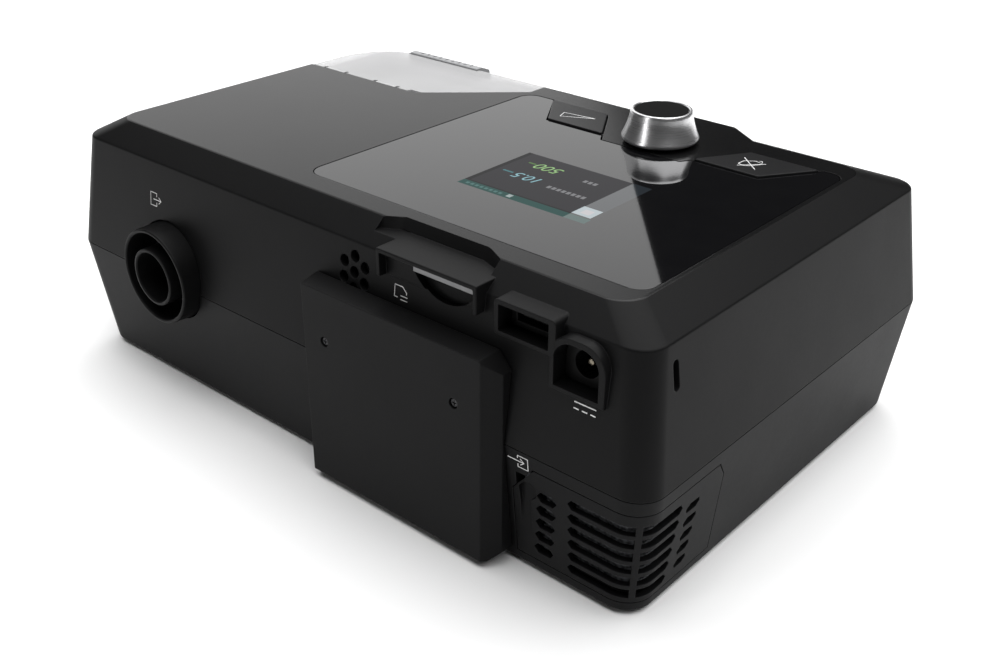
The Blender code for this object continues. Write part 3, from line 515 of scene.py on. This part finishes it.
def wrapped_slot(start, end, z, half_high, lean=0.0, tips=(0.8, 0.8)):
    """A slot cutter bent round the corner. start and end are distances along the wall from the middle of
    the corner arc, negative on the back and positive on the side. tips is how far its two ends are drawn out to
    a point, and lean slants them."""
    half = 9.3 * math.pi / 4
    outline = []
    for k in range(17):
        outline.append((start + (end - start) * k / 16, half_high))
    outline.append((end + half_high * tips[1], 0.0))
    for k in range(17):
        outline.append((end + (start - end) * k / 16, -half_high))
    outline.append((start - half_high * tips[0], 0.0))
    half_x, half_y = wall(z)
    rings = []
    for out in (3.5, -5.0):
        ring = []
        for along, up in outline:
            along = along + lean * up
            if along < -half:
                x, y = -half_x + 9.3 - (along + half), half_y + out
            elif along > half:
                x, y = -half_x - out, half_y - 9.3 - (along - half)
            else:
                a = math.pi * 0.75 + along / 9.3
                x, y = -half_x + 9.3 + (9.3 + out) * math.cos(a), half_y - 9.3 + (9.3 + out) * math.sin(a)
            ring.append((x, y, z + up))
        rings.append(ring)
    return raised("slot", rings)


for row in range(6):
    z = 34.0 - 5.0 * row
    work(cover, wrapped_slot(-22.4 + 0.3 * row, -0.9, z, 1.75, 0.0, (0.8, 0.0)))
    work(cover, wrapped_slot(1.1, 16.8 - 0.9 * row, z, 1.75, 0.0, (0.0, 0.8)))
for row in range(5):
    z = 31.6 - 5.2 * row
    work(cover, wrapped_slot(-33.4, -29.0, z - 0.4, 1.9))
    work(cover, wrapped_slot(21.6 - 0.7 * row, 26.2 - 0.9 * row, z, 1.5, 0.4))
recess = [(-95.2, 7.4), (-95.2, 28.0), (-97.6, 30.2), (-97.6, 33.0), (-95.8, 34.4), (-93.0, 34.4), (-90.8, 31.6),
          (-91.3, 26.4), (-91.3, 7.4)]
work(cover, plate("finger_recess", recess, 84.4, 96.0, "Y"))
mount(cover, lower_black, "filter_cover", "casing_black", "filter_cover")


# Air outlet. A sunk ring round the tapered 22 mm tube that the breathing hose is pushed onto.
# Turned shapes are a profile swept right round its axis.

def lathe(name, profile, centre, axis="Z", steps=96):
    """A piece turned from a profile of (radius, height) points."""
    bpy.ops.object.select_all(action="DESELECT")
    bpy.ops.mesh.primitive_circle_add(vertices=len(profile), radius=1.0, fill_type="NOTHING")
    piece = bpy.context.object
    piece.name = name
    put = {"Z": lambda r, h: (r, 0.0, h), "Y": lambda r, h: (r, h, 0.0)}[axis]
    for vertex, (radius, height) in zip(piece.data.vertices, profile):
        vertex.co = (Vector(centre) + Vector(put(radius, height))) * MM
    middle = Vector(centre)

    def on_axis(spot, along):
        return abs(spot.x - middle.x) < 0.001 and (axis == "Y" or abs(spot.y - middle.y) < 0.001)

    with picked(piece, "EDGE", on_axis):
        bpy.ops.mesh.delete(type="EDGE")
        bpy.ops.mesh.select_all(action="SELECT")
        line = (0.0, 0.0, 1.0) if axis == "Z" else (0.0, 1.0, 0.0)
        bpy.ops.mesh.spin(steps=steps, angle=2 * math.pi, center=middle * MM, axis=line)
        bpy.ops.mesh.select_all(action="SELECT")
        bpy.ops.mesh.remove_doubles(threshold=0.000002)
        bpy.ops.mesh.normals_make_consistent(inside=False)
    return piece


outlet = lathe("outlet_ring_and_tube", [
    (9.3, 62.0), (9.3, 93.6), (9.45, 94.1), (9.85, 94.4), (10.4, 94.4), (10.75, 94.2), (10.9, 93.7), (11.0, 80.5),
    (15.6, 80.5), (16.2, 80.9), (16.35, 81.6), (16.55, 93.0), (16.7, 93.5), (17.1, 93.8), (17.6, 93.8),
    (18.0, 93.5), (18.15, 93.0), (18.4, 79.0), (17.0, 78.0), (12.5, 77.0), (12.5, 62.0)], (76.0, 0.0, 48.6), "Y")
outlet_black, sockets, place = moulded("outlet_black", (0.0045, 0.0045, 0.0047), 0.4, edge_highlight_gain=3.0, edge=0.3)
mount(outlet, outlet_black, "case", "casing_black", "air_outlet")


# Add-on module. A closed box of the same black plastic that clips over the back, held by two small
# screws sunk in its face.

module = plate("module_box", [(83.2, 2.7), (87.85, 44.8), (84.2, 73.2), (93.4, 73.2), (93.4, 2.7)],
               -90.0, -1.0, "X")
work(module, plate("module_plan", [(-2.8, 80.0), (-6.6, 93.4), (-6.6, 96.0), (-82.3, 96.0), (-82.3, 93.4),
                                   (-86.6, 88.4), (-86.6, 80.0)], 0.0, 80.0), "INTERSECT")
work(module, plate("module_face", [(0.0, 2.0), (0.0, 75.0), (-79.7, 75.0), (-86.8, 68.3), (-86.8, 5.9),
                                   (-82.9, 2.0)], 80.0, 96.0, "Y"), "INTERSECT")
with picked(module, "EDGE", lambda m, d: m.y > 88.0):
    bpy.ops.mesh.bevel(offset=0.3 * MM, segments=2, affect="EDGES")
for screw_x in (-16.2, -71.8):
    work(module, drill("screw_bore", (screw_x, 55.4), 1.1, 86.0, 94.0, "Y", 24))
    work(module, drill("screw_well", (screw_x, 55.4), 1.75, 91.9, 94.0, "Y", 24))
module_black, sockets, place = moulded("module_black", (0.0056, 0.0056, 0.0058), 0.5, grain=0.5)
mount(module, module_black, "case", "casing_black", "add_on_module")
for number, screw_x in enumerate((-16.2, -71.8), 1):
    screw = lathe("module_cross_screw_%d" % number, [
        (0.0, 87.0), (0.8, 87.0), (0.8, 92.0), (1.45, 92.0), (1.45, 92.5), (1.2, 92.9), (0.0, 92.95)],
        (screw_x, 0.0, 55.4), "Y", 32)
    for long_x, long_z in ((0.9, 0.2), (0.2, 0.9)):
        work(screw, brick("cross", (screw_x - long_x, screw_x + long_x), (92.3, 94.0),
                          (55.4 - long_z, 55.4 + long_z)))
    screw_dark, sockets, place = finish("screw_dark_%d" % number, {"Metallic": 1.0, "Roughness": 0.45})
    feed(sockets, Base_Color=place.noise(0.5).tint((0.03, 0.03, 0.032, 1), (0.07, 0.07, 0.072, 1)))
    mount(screw, screw_dark, "case", "screw_steel", "module_screw_%d" % number)


# Control panel. A flat sheet of black glass let into the deck with a hairline gap; its back is printed
# black and left clear over the display, whose picture shows through it.

glass = plate("panel_sheet", arc_corners([
    (21.6, 64.2, 6), (-115.7, 64.2, 6), (-115.7, -52.3, 5), (-107.9, -52.3, 1), (-94.8, -31.4, 1),
    (-68.9, -31.4, 1), (-66.3, -27.2, 1), (-32.7, -27.2, 1), (-30.1, -31.4, 1), (-4.2, -31.4, 1),
    (8.9, -52.3, 1), (21.6, -52.3, 6)], 10), 93.45, 94.85)
with picked(glass, "EDGE", lambda m, d: m.z > 94.8):
    bpy.ops.mesh.bevel(offset=0.18 * MM, segments=2, affect="EDGES")
plain = {"Roughness": 0.3, "Specular IOR Level": 0.0, "Coat Roughness": 0.03, "Emission Strength": 1.0}
panel_glass, sockets, place = finish("panel_glass", plain)
x, y = place.axis("X"), place.axis("Y")
on_top = place.axis("Z") > 94.8


def window(x0, x1, y0, y1):
    """1 inside a rectangle of the sheet and 0 outside."""
    return (x > x0) * (x < x1) * (y > y0) * (y < y1) * on_top


def shown(picture, mask, colour):
    return mask.tint(picture, (*colour, 1))


picture = shown((0.0, 0.0, 0.0, 1.0), window(-66.5, -24.1, 0.1, 33.0),
                (0.016, 0.015, 0.018))
picture = shown(picture, window(-74.0, -66.5, 0.1, 26.0), (0.020, 0.026, 0.032))
picture = shown(picture, window(-74.6, -22.3, 33.8, 37.5), (0.006, 0.060, 0.052))
picture = shown(picture, window(-73.7, -66.3, 26.2, 33.0), (0.40, 0.47, 0.50))
picture = shown(picture, window(-71.8, -68.4, 28.0, 31.4), (0.52, 0.50, 0.52))
picture = shown(picture, window(-44.1, -42.2, 34.3, 36.5), (0.34, 0.40, 0.40))
for mark in range(8):
    left = -40.0 + 2.0 * mark
    picture = shown(picture, window(left, left + 1.3, 34.9, 36.3), (0.06, 0.16, 0.15))
for left, right, low in ((-62.5, -46.4, 20.0), (-58.4, -52.3, 8.2)):
    for dash in range(int((right - left) / 2.0)):
        start = left + 2.0 * dash
        picture = shown(picture, window(start, start + 1.4, low, low + 2.0), (0.20, 0.20, 0.21))
picture = shown(picture, window(-30.6, -26.2, 18.3, 19.3), (0.05, 0.17, 0.19))
picture = shown(picture, window(-31.6, -28.4, 7.3, 8.3), (0.08, 0.17, 0.04))
display = window(-66.5, -22.3, 0.1, 37.5)
feed(sockets, Base_Color=place.noise(12.0).tint((0.0025, 0.0025, 0.003, 1), (0.004, 0.004, 0.0045, 1)))
feed(sockets, Emission_Color=picture)
feed(sockets, Coat_Weight=1.0 - display * 0.72)
smears = place.noise(26.0, 4.0)
feed(sockets, Roughness=0.25 + smears * smears * 0.1)
mount(glass, panel_glass, "case", "panel_glass_black", "panel_glass")


# Display numerals. Two plain readings in light digits, printed as thin as paint.

def digits(name, text, left, low, high_mm, colour, body="case"):
    """Generic digits that read from the front; left is their first edge, and low their base line."""
    bpy.ops.object.select_all(action="DESELECT")
    bpy.ops.object.text_add(location=(0.0, 0.0, 0.0))
    piece = bpy.context.object
    piece.name = name
    piece.data.body = text
    piece.data.size = high_mm * 1.4 * MM
    piece.data.extrude = 0.012 * MM
    piece.data.shear = 0.25
    bpy.ops.object.convert(target="MESH")
    piece.location = (left * MM, low * MM, 94.862 * MM)
    bpy.ops.object.transform_apply(location=True, rotation=True, scale=True)
    plain = {"Roughness": 0.05, "Emission Strength": 1.0}
    lit, sockets, place = finish(name + "_lit", plain)
    feed(sockets, Base_Color=place.noise(3.0).tint((0.004, 0.004, 0.004, 1), (0.005, 0.005, 0.005, 1)))
    dark = [c * 0.82 for c in colour] + [1]
    feed(sockets, Emission_Color=place.noise(0.8).tint(dark, (*colour, 1)))
    return mount(piece, lit, body, "panel_glass_black")


digits("reading_upper", "10.5", -43.4, 17.3, 4.7, (0.11, 0.34, 0.40))
digits("reading_lower", "500", -43.0, 6.0, 5.0, (0.14, 0.36, 0.05))


# Knob. Turned from aluminium bar with a flared skirt, its face bored out for a black plastic disc. It
# pushes onto the shaft of the encoder below the deck.

knob_profile = [(0.0, 105.3), (9.75, 105.3), (9.75, 106.75), (9.95, 107.02), (10.3, 107.1), (10.75, 106.95),
                (11.05, 106.5), (11.2, 105.7), (11.35, 104.6), (11.6, 103.4), (11.95, 102.2), (12.35, 101.0),
                (12.8, 99.8), (13.25, 98.7), (13.65, 97.8), (13.85, 97.35), (13.9, 97.05), (13.8, 96.75),
                (13.45, 96.3), (13.0, 96.0), (3.3, 96.0), (3.3, 104.3), (0.0, 104.3)]
knob = lathe("knob_turned", knob_profile, (-49.5, -40.0, 0.0), "Z", 128)
spun_metal, sockets, place = finish("spun_metal", {"Metallic": 0.94, "Roughness": 0.24})
centred = place.node("ShaderNodeVectorMath", {"operation": "SUBTRACT"}, {0: place, 1: (-0.0495, -0.040, 0.0)})
off_x, off_y, up = centred.axis("X"), centred.axis("Y"), centred.axis("Z")
squares = off_x * off_x + off_y * off_y
radius = squares.node("ShaderNodeMath", {"operation": "SQRT"}, {0: squares})
grooves = up.node("ShaderNodeCombineXYZ", None, {"X": radius * 9.0, "Y": up * 9.0, "Z": 0.0})
fine = grooves.node("ShaderNodeTexNoise", None, {"Vector": grooves, "Scale": 1.0, "Detail": 3.0})
feed(sockets, Base_Color=fine.tint((0.72, 0.72, 0.73, 1), (0.86, 0.86, 0.87, 1)))
feed(sockets, Roughness=0.25 + fine * 0.06)
rounded_edge = place.node("ShaderNodeBevel", {"samples": 4}, {"Radius": 0.15 * MM})
feed(sockets, Normal=place.node("ShaderNodeBump", None, {
    "Height": fine, "Normal": rounded_edge, "Strength": 0.1, "Distance": 0.002 * MM}))
mount(knob, spun_metal, "knob", "knob_steel", "knob_body")
disc = lathe("knob_disc", [(0.0, 105.6), (9.5, 105.6), (9.5, 106.5), (9.35, 106.75), (9.1, 106.82), (4.0, 106.7),
                           (0.0, 106.66)], (-49.5, -40.0, 0.0), "Z", 96)
knob_black, sockets, place = moulded("knob_black", (0.006, 0.006, 0.006), 0.75, grain=0.22, shine=0.04)
mount(disc, knob_black, "knob", "knob_inset_black", "knob_inset")


# Keys. Two tapered rubber-feel keys either side of the knob, a little proud of the deck, with white
# printed signs: a rising ramp, and a crossed-out bell.

def key(name, outline, node):
    cap = plate(name, arc_corners(outline, 6), 91.75, 95.5)
    with picked(cap, "EDGE", lambda m, d: m.z > 95.4):
        bpy.ops.mesh.bevel(offset=0.3 * MM, segments=3, affect="EDGES")
    return mount(cap, key_black, node, "key_black", node)


key_black, sockets, place = moulded("key_black", (0.012, 0.012, 0.0125), 0.3, grain=0.25, depth=0.006)
ramp = [(8.0, -50.8, 0.8), (-4.6, -31.95, 0.8), (-29.9, -31.95, 0.8), (-18.4, -50.8, 0.8)]
key("ramp_cap", ramp, "ramp_key")
key("mute_cap", [(-99.0 - x, y, r) for x, y, r in ramp][::-1], "mute_key")


def printed(name, strokes, level, body, axis="Z", width=0.42, slope=0.0):
    """Thin white printed lines; strokes are runs of points across the axis, and level is the printed face.
    Each run is a flat-sided curve turned into a mesh and pressed flat onto that face."""
    drawn = bpy.data.curves.new(name, "CURVE")
    drawn.dimensions = "3D"
    drawn.bevel_depth = width / 2 * MM
    drawn.bevel_resolution = 1
    drawn.use_fill_caps = True
    for stroke in strokes:
        line = drawn.splines.new("POLY")
        line.points.add(len(stroke) - 1)
        for point, (a, b) in zip(line.points, stroke):
            spot = (a, b, 0.0) if axis == "Z" else (a, 0.0, b)
            point.co = (*[v * MM for v in spot], 1.0)
    piece = bpy.data.objects.new(name, drawn)
    bpy.context.collection.objects.link(piece)
    bpy.ops.object.select_all(action="DESELECT")
    piece.select_set(True)
    bpy.context.view_layer.objects.active = piece
    bpy.ops.object.convert(target="MESH")
    piece = bpy.context.object
    flat = 2 if axis == "Z" else 1
    for vertex in piece.data.vertices:
        across = vertex.co[2] * 1000.0 if axis == "Y" else 0.0
        vertex.co[flat] = vertex.co[flat] * 0.12 + level * MM + slope * across * MM
    ink, sockets, place = finish(name + "_ink", {"Roughness": 0.6})
    feed(sockets, Base_Color=place.noise(0.4).tint((0.66, 0.66, 0.66, 1), (0.82, 0.82, 0.82, 1)))
    return mount(piece, ink, body, "tank_cover_white")


printed("ramp_sign", [[(-18.2, -43.2), (-4.9, -41.4), (-6.4, -37.0), (-18.2, -43.2)]], 95.5, "ramp_key", width=0.34)
printed("mute_sign", [
    [(-90.6, -43.6), (-83.6, -36.3)], [(-90.4, -36.6), (-81.6, -44.6)],
    [(-83.0, -38.2), (-85.3, -37.4), (-87.2, -38.6), (-90.0, -43.0), (-86.4, -43.9), (-83.2, -41.6),
     (-83.0, -38.2)],
    [(-88.9, -44.2), (-88.3, -45.0), (-87.4, -44.8)]], 95.5, "mute_key", width=0.3)
printed("outlet_sign", [
    [(83.0, 71.2), (86.6, 71.2), (86.6, 76.0), (83.0, 76.0), (83.0, 74.7)], [(83.0, 71.2), (83.0, 72.6)],
    [(84.9, 73.6), (80.6, 73.6)], [(81.8, 74.8), (80.4, 73.6), (81.8, 72.4)]], 93.17, "case", "Y", 0.34, -0.1285)
printed("inlet_sign", [
    [(-91.2, 42.0), (-91.2, 43.0), (-95.0, 43.0), (-95.0, 38.9), (-91.2, 38.9), (-91.2, 40.0)],
    [(-87.4, 41.0), (-93.4, 41.0)], [(-92.2, 42.1), (-93.6, 41.0), (-92.2, 39.9)]],
    82.55, "case", "Y", 0.36, 0.1085)
printed("direct_current_sign", [
    [(-108.8, 67.3), (-116.3, 67.3)], [(-108.8, 65.4), (-110.6, 65.4)], [(-111.7, 65.4), (-113.5, 65.4)],
    [(-114.6, 65.4), (-116.3, 65.4)]], 93.17, "case", "Y", 0.42, -0.1285)
printed("card_sign", [
    [(-38.6, 75.6), (-38.6, 79.4), (-41.8, 79.4), (-43.6, 77.9), (-43.6, 77.2)], [(-38.6, 75.6), (-40.0, 75.6)],
    [(-41.2, 75.2), (-44.1, 75.2)], [(-41.2, 76.4), (-44.1, 76.4)]], 93.17, "case", "Y", 0.3, -0.1285)


# Sockets at the back. A memory card in its metal cage, a small communication socket with a steel shell,
# a round power inlet with its pin, and the loudspeaker behind its holes.

card = plate("memory_card", [(-71.6, 51.9), (-47.6, 51.9), (-47.6, 84.0), (-47.9, 84.3), (-71.3, 84.3),
                             (-71.6, 84.0)], 87.0, 89.1)
with picked(card, "EDGE", lambda m, d: m.y > 84.2):
    bpy.ops.mesh.bevel(offset=0.25 * MM, segments=2, affect="EDGES")
for rib in range(5):
    work(card, brick("finger_rib", (-69.0, -50.0), (80.0 - 0.9 * rib, 80.4 - 0.9 * rib), (88.9, 90.0)))
card_grey, sockets, place = moulded("card_grey", (0.24, 0.24, 0.245), 0.42, grain=0.2, depth=0.006,
                                     shine=0.4, edge_highlight_gain=0.5)
mount(card, card_grey, "sd_card", "card_grey", "sd_card")

socket_black, sockets, place = moulded("socket_black", (0.006, 0.006, 0.006), 0.4, grain=0.25, edge_highlight_gain=1.6, edge=0.2)
coat(socket_black, "comm_port", "dc_jack", "outlet_duct", "inlet_muffler", "tank_inlet_duct")
shell_steel, sockets, place = finish("shell_steel", {"Metallic": 1.0, "Roughness": 0.35})
feed(sockets, Base_Color=place.noise(1.2, 3.0).tint((0.30, 0.30, 0.31, 1), (0.46, 0.46, 0.47, 1)))
brushed = place.node("ShaderNodeVectorMath", {"operation": "MULTIPLY"}, {0: place, 1: (30.0, 1.0, 1.0)})
feed(sockets, Roughness=0.26 + brushed.noise(2.0) * 0.18)
liner = plate("port_shell", oblong(-97.6, -84.8, 82.2, 86.2, 0.5, 4), 74.0, 80.9, "Y")
work(liner, plate("port_mouth", oblong(-97.2, -85.2, 82.6, 85.8, 0.3, 4), 73.0, 82.0, "Y"))
mount(liner, socket_black, "case", "socket_black")
tongue = brick("port_tongue", (-96.0, -86.4), (74.0, 79.8), (84.0, 84.9), 0.15)
mount(tongue, socket_black, "case", "socket_black")
coat(shell_steel, "sd_socket", "encoder_shaft", "encoder_body", "motor_body", "motor_shaft", "hinge_pin_1",
     "hinge_pin_2", "case_screw_1", "case_screw_2", "case_screw_3", "case_screw_4")
pin_brass, sockets, place = finish("pin_brass", {"Metallic": 1.0, "Roughness": 0.3})
feed(sockets, Base_Color=place.noise(0.6).tint((0.16, 0.14, 0.11, 1), (0.26, 0.23, 0.18, 1)))
centre_pin = lathe("power_pin", [(0.0, 66.3), (1.1, 66.3), (1.1, 78.5), (0.95, 78.85), (0.6, 79.0), (0.0, 79.0)],
                   (-109.7, 0.0, 77.4), "Y", 32)
mount(centre_pin, pin_brass, "case", "pin_brass", "dc_pin")


# Lid. A clear polycarbonate flap over the water tank, moulded with a thick rim, hinged on two pins
# along its back edge and held at the front by a grey latch.

def lid_outline(front, side, corner):
    ears = [(x, y, 0) for right in (110.1, 97.5, 80.1, 67.5)
            for x, y in ((right, -22.4), (right, -24.2), (right - 1.6, -24.2), (right - 1.6, -22.4))]
    return arc_corners([(22.4, front, 0), (side, front, corner), (side, -22.4, 0), *ears, (60.4, -22.4, 0),
                        (59.8, -24.3, 0), (54.3, -24.3, 2), (22.4, -54.2, 2)], 10)


lid = raised("lid_flap", [
    [(x, y, 84.0) for x, y in lid_outline(-82.3, 130.6, 12)],
    [(x, y, 87.6) for x, y in lid_outline(-81.9, 130.2, 12)],
    [(x, y, 94.9) for x, y in lid_outline(-63.0, 116.0, 24.5)]])
with picked(lid, "EDGE", lambda m, d: m.z > 87.0 and abs(d.z) < 0.5 and m.y < -24.5):
    bpy.ops.mesh.bevel(offset=0.2 * MM, segments=2, affect="EDGES")
work(lid, raised("lid_inside", [
    [(x, y, 83.0) for x, y in oblong(24.4, 128.6, -80.3, -10.0, 6)],
    [(x, y, 87.0) for x, y in oblong(24.4, 128.1, -79.8, -10.0, 6)],
    [(x, y, 92.8) for x, y in oblong(24.4, 114.0, -61.0, -10.0, 6)]]))
for hinge_x in (73.0, 103.0):
    work(lid, drill("pin_bore", (-22.9, 94.2), 0.62, hinge_x - 6.3, hinge_x + 6.3, "X", 18))
work(lid, brick("latch_window", (57.6, 97.9), (-70.4, -61.4), (88.0, 98.0)))
plain = {"Alpha": 0.5, "Roughness": 0.08, "Specular IOR Level": 0.5, "IOR": 1.58}
clear_plastic, sockets, place = finish("clear_plastic", plain)
feed(sockets, Base_Color=place.noise(40.0).tint((0.40, 0.40, 0.405, 1), (0.50, 0.50, 0.505, 1)))
feed(sockets, Roughness=0.06 + place.noise(18.0, 4.0) * 0.08)
rim = place.node("ShaderNodeBevel", {"samples": 6}, {"Radius": 1.2 * MM})
facing = place.node("ShaderNodeNewGeometry", None, None, "Normal")
flat = place.node("ShaderNodeVectorMath", {"operation": "DOT_PRODUCT"}, {0: rim, 1: facing}, "Value")
glancing = place.node("ShaderNodeLayerWeight", None, {"Blend": 0.35}, "Facing")
feed(sockets, Alpha=(0.56 + (1.0 - flat) * 0.6 + glancing * 0.1).held())
mount(lid, clear_plastic, "lid", "clear_lid", "clear_lid")
silicone, sockets, place = moulded("silicone_grey", (0.42, 0.43, 0.45), 0.55, grain=0.5, edge_highlight_gain=0.4)
coat(silicone, "lid_seal", "tank_seal")
latch = plate("latch_bar", [(-61.8, 91.2), (-61.8, 95.0), (-62.1, 95.5), (-64.8, 95.7), (-69.5, 93.9),
                            (-70.0, 93.3), (-70.0, 90.4), (-68.0, 90.4), (-66.5, 91.2)], 58.0, 97.5, "X")
with picked(latch, "EDGE", lambda m, d: m.z > 93.0):
    bpy.ops.mesh.bevel(offset=0.25 * MM, segments=2, affect="EDGES")
for rib in range(9):
    left = 62.0 + 3.6 * rib
    work(latch, brick("grip_line", (left, left + 1.2), (-69.0, -62.8), (95.35, 97.0)))
latch_grey, sockets, place = moulded("latch_grey", (0.27, 0.273, 0.28), 0.4, grain=0.3, shine=0.4, edge_highlight_gain=0.5)
mount(latch, latch_grey, "latch", "latch_grey", "lid_latch")


# Water tank. A clear tub with a white cover, a bare metal base plate that stands on the heater, and a
# black front with a full-width grip.

tank_front = plate("tank_face", [(-83.3, 8.5), (-87.2, 44.8), (-82.5, 83.2), (-79.4, 83.2), (-79.4, 8.5)],
                   24.6, 124.4, "X")
with picked(tank_front, "EDGE", lambda m, d: m.y < -80.0):
    bpy.ops.mesh.bevel(offset=0.5 * MM, segments=3, affect="EDGES")
grip = plate("tank_grip", [(-82.5, 73.0), (-92.9, 69.3), (-94.0, 68.6), (-94.4, 67.5), (-94.4, 60.3), (-94.1, 59.6),
                           (-93.1, 59.3), (-92.1, 59.6), (-91.8, 60.3), (-91.8, 65.0), (-82.5, 67.5)],
             50.0, 99.0, "X")
with picked(grip, "EDGE", lambda m, d: abs(m.x - 74.5) > 24.0):
    bpy.ops.mesh.bevel(offset=0.6 * MM, segments=2, affect="EDGES")
work(tank_front, grip, "UNION")
work(tank_front, plate("face_groove", oblong(34.0, 115.0, 22.0, 23.2, 0.5, 3), -90.0, -84.9, "Y"))
mount(tank_front, lower_black, "tank", "casing_black", "tank_front")
plain = {"Alpha": 0.4, "Roughness": 0.1, "IOR": 1.58}
tank_clear, sockets, place = finish("tank_clear", plain)
feed(sockets, Base_Color=place.noise(30.0).tint((0.70, 0.76, 0.80, 1), (0.80, 0.84, 0.88, 1)))
feed(sockets, Roughness=0.06 + place.noise(12.0, 4.0) * 0.1)
level_mark = (place.axis("Y") < -78.7) * (place.axis("Z") > 50.0) * (place.axis("Z") < 51.0)
feed(sockets, Alpha=(0.36 + level_mark * 0.6 + place.noise(9.0) * 0.06).held())
coat(tank_clear, "tank_body")
tank_white, sockets, place = moulded("tank_white", (0.62, 0.63, 0.64), 0.34, grain=0.4, shine=0.45,
                                      edge_highlight_gain=0.4, edge=0.5)
coat(tank_white, "tank_cover", "blower_housing", "blower_cover", "impeller")
brushed_plate, sockets, place = finish("brushed_plate", {"Metallic": 1.0, "Roughness": 0.35})
streaks = place.node("ShaderNodeVectorMath", {"operation": "MULTIPLY"}, {0: place, 1: (1.0, 40.0, 1.0)})
feed(sockets, Base_Color=streaks.noise(12.0, 3.0).tint((0.45, 0.45, 0.46, 1), (0.66, 0.66, 0.67, 1)))
feed(sockets, Roughness=0.28 + streaks.noise(8.0, 3.0) * 0.2)
coat(brushed_plate, "heater_plate", "tank_base")
coat(lower_black, "humidifier_bay")


# Feet, foam and boards. Soft rubber feet glued in their pockets, an open-cell filter pad and muffler
# foam, and green glass-fibre boards.

rubber, sockets, place = moulded("rubber_black", (0.014, 0.014, 0.014), 0.75, grain=0.6, depth=0.03, shine=0.2)
for number, (foot_x, foot_y) in enumerate(FOOT_SPOTS, 1):
    foot = lathe("rubber_foot_%d" % number, [
        (0.0, 0.25), (3.6, 0.25), (4.0, 0.0), (5.9, 0.0), (6.4, 0.15), (6.75, 0.45), (6.9, 0.9),
        (6.9, 2.1), (0.0, 2.1)],
        (foot_x, foot_y, 0.0), "Z", 48)
    mount(foot, rubber, "case", "rubber_black", "foot_%d" % number)
coat(rubber, "speaker", "blower_mount_1", "blower_mount_2", "blower_mount_3")
foam_grey, sockets, place = finish("foam_grey", {"Roughness": 0.95, "Specular IOR Level": 0.1})
cells = place.node("ShaderNodeTexVoronoi", None, {"Vector": place, "Scale": 900.0})
feed(sockets, Base_Color=(cells * 1.4).held().tint((0.02, 0.02, 0.022, 1), (0.16, 0.165, 0.175, 1)))
feed(sockets, Normal=place.node("ShaderNodeBump", None, {"Height": cells, "Strength": 0.9, "Distance": 0.4 * MM}))
coat(foam_grey, "filter_pad", "muffler_foam")
board_green, sockets, place = finish("board_green", {"Roughness": 0.4})
tracks = place.node("ShaderNodeTexBrick", None, {"Vector": place, "Scale": 260.0}, "Fac")
feed(sockets, Base_Color=tracks.tint((0.010, 0.075, 0.035, 1), (0.03, 0.16, 0.075, 1)))
coat(board_green, "main_board", "key_board", "lcd_module")
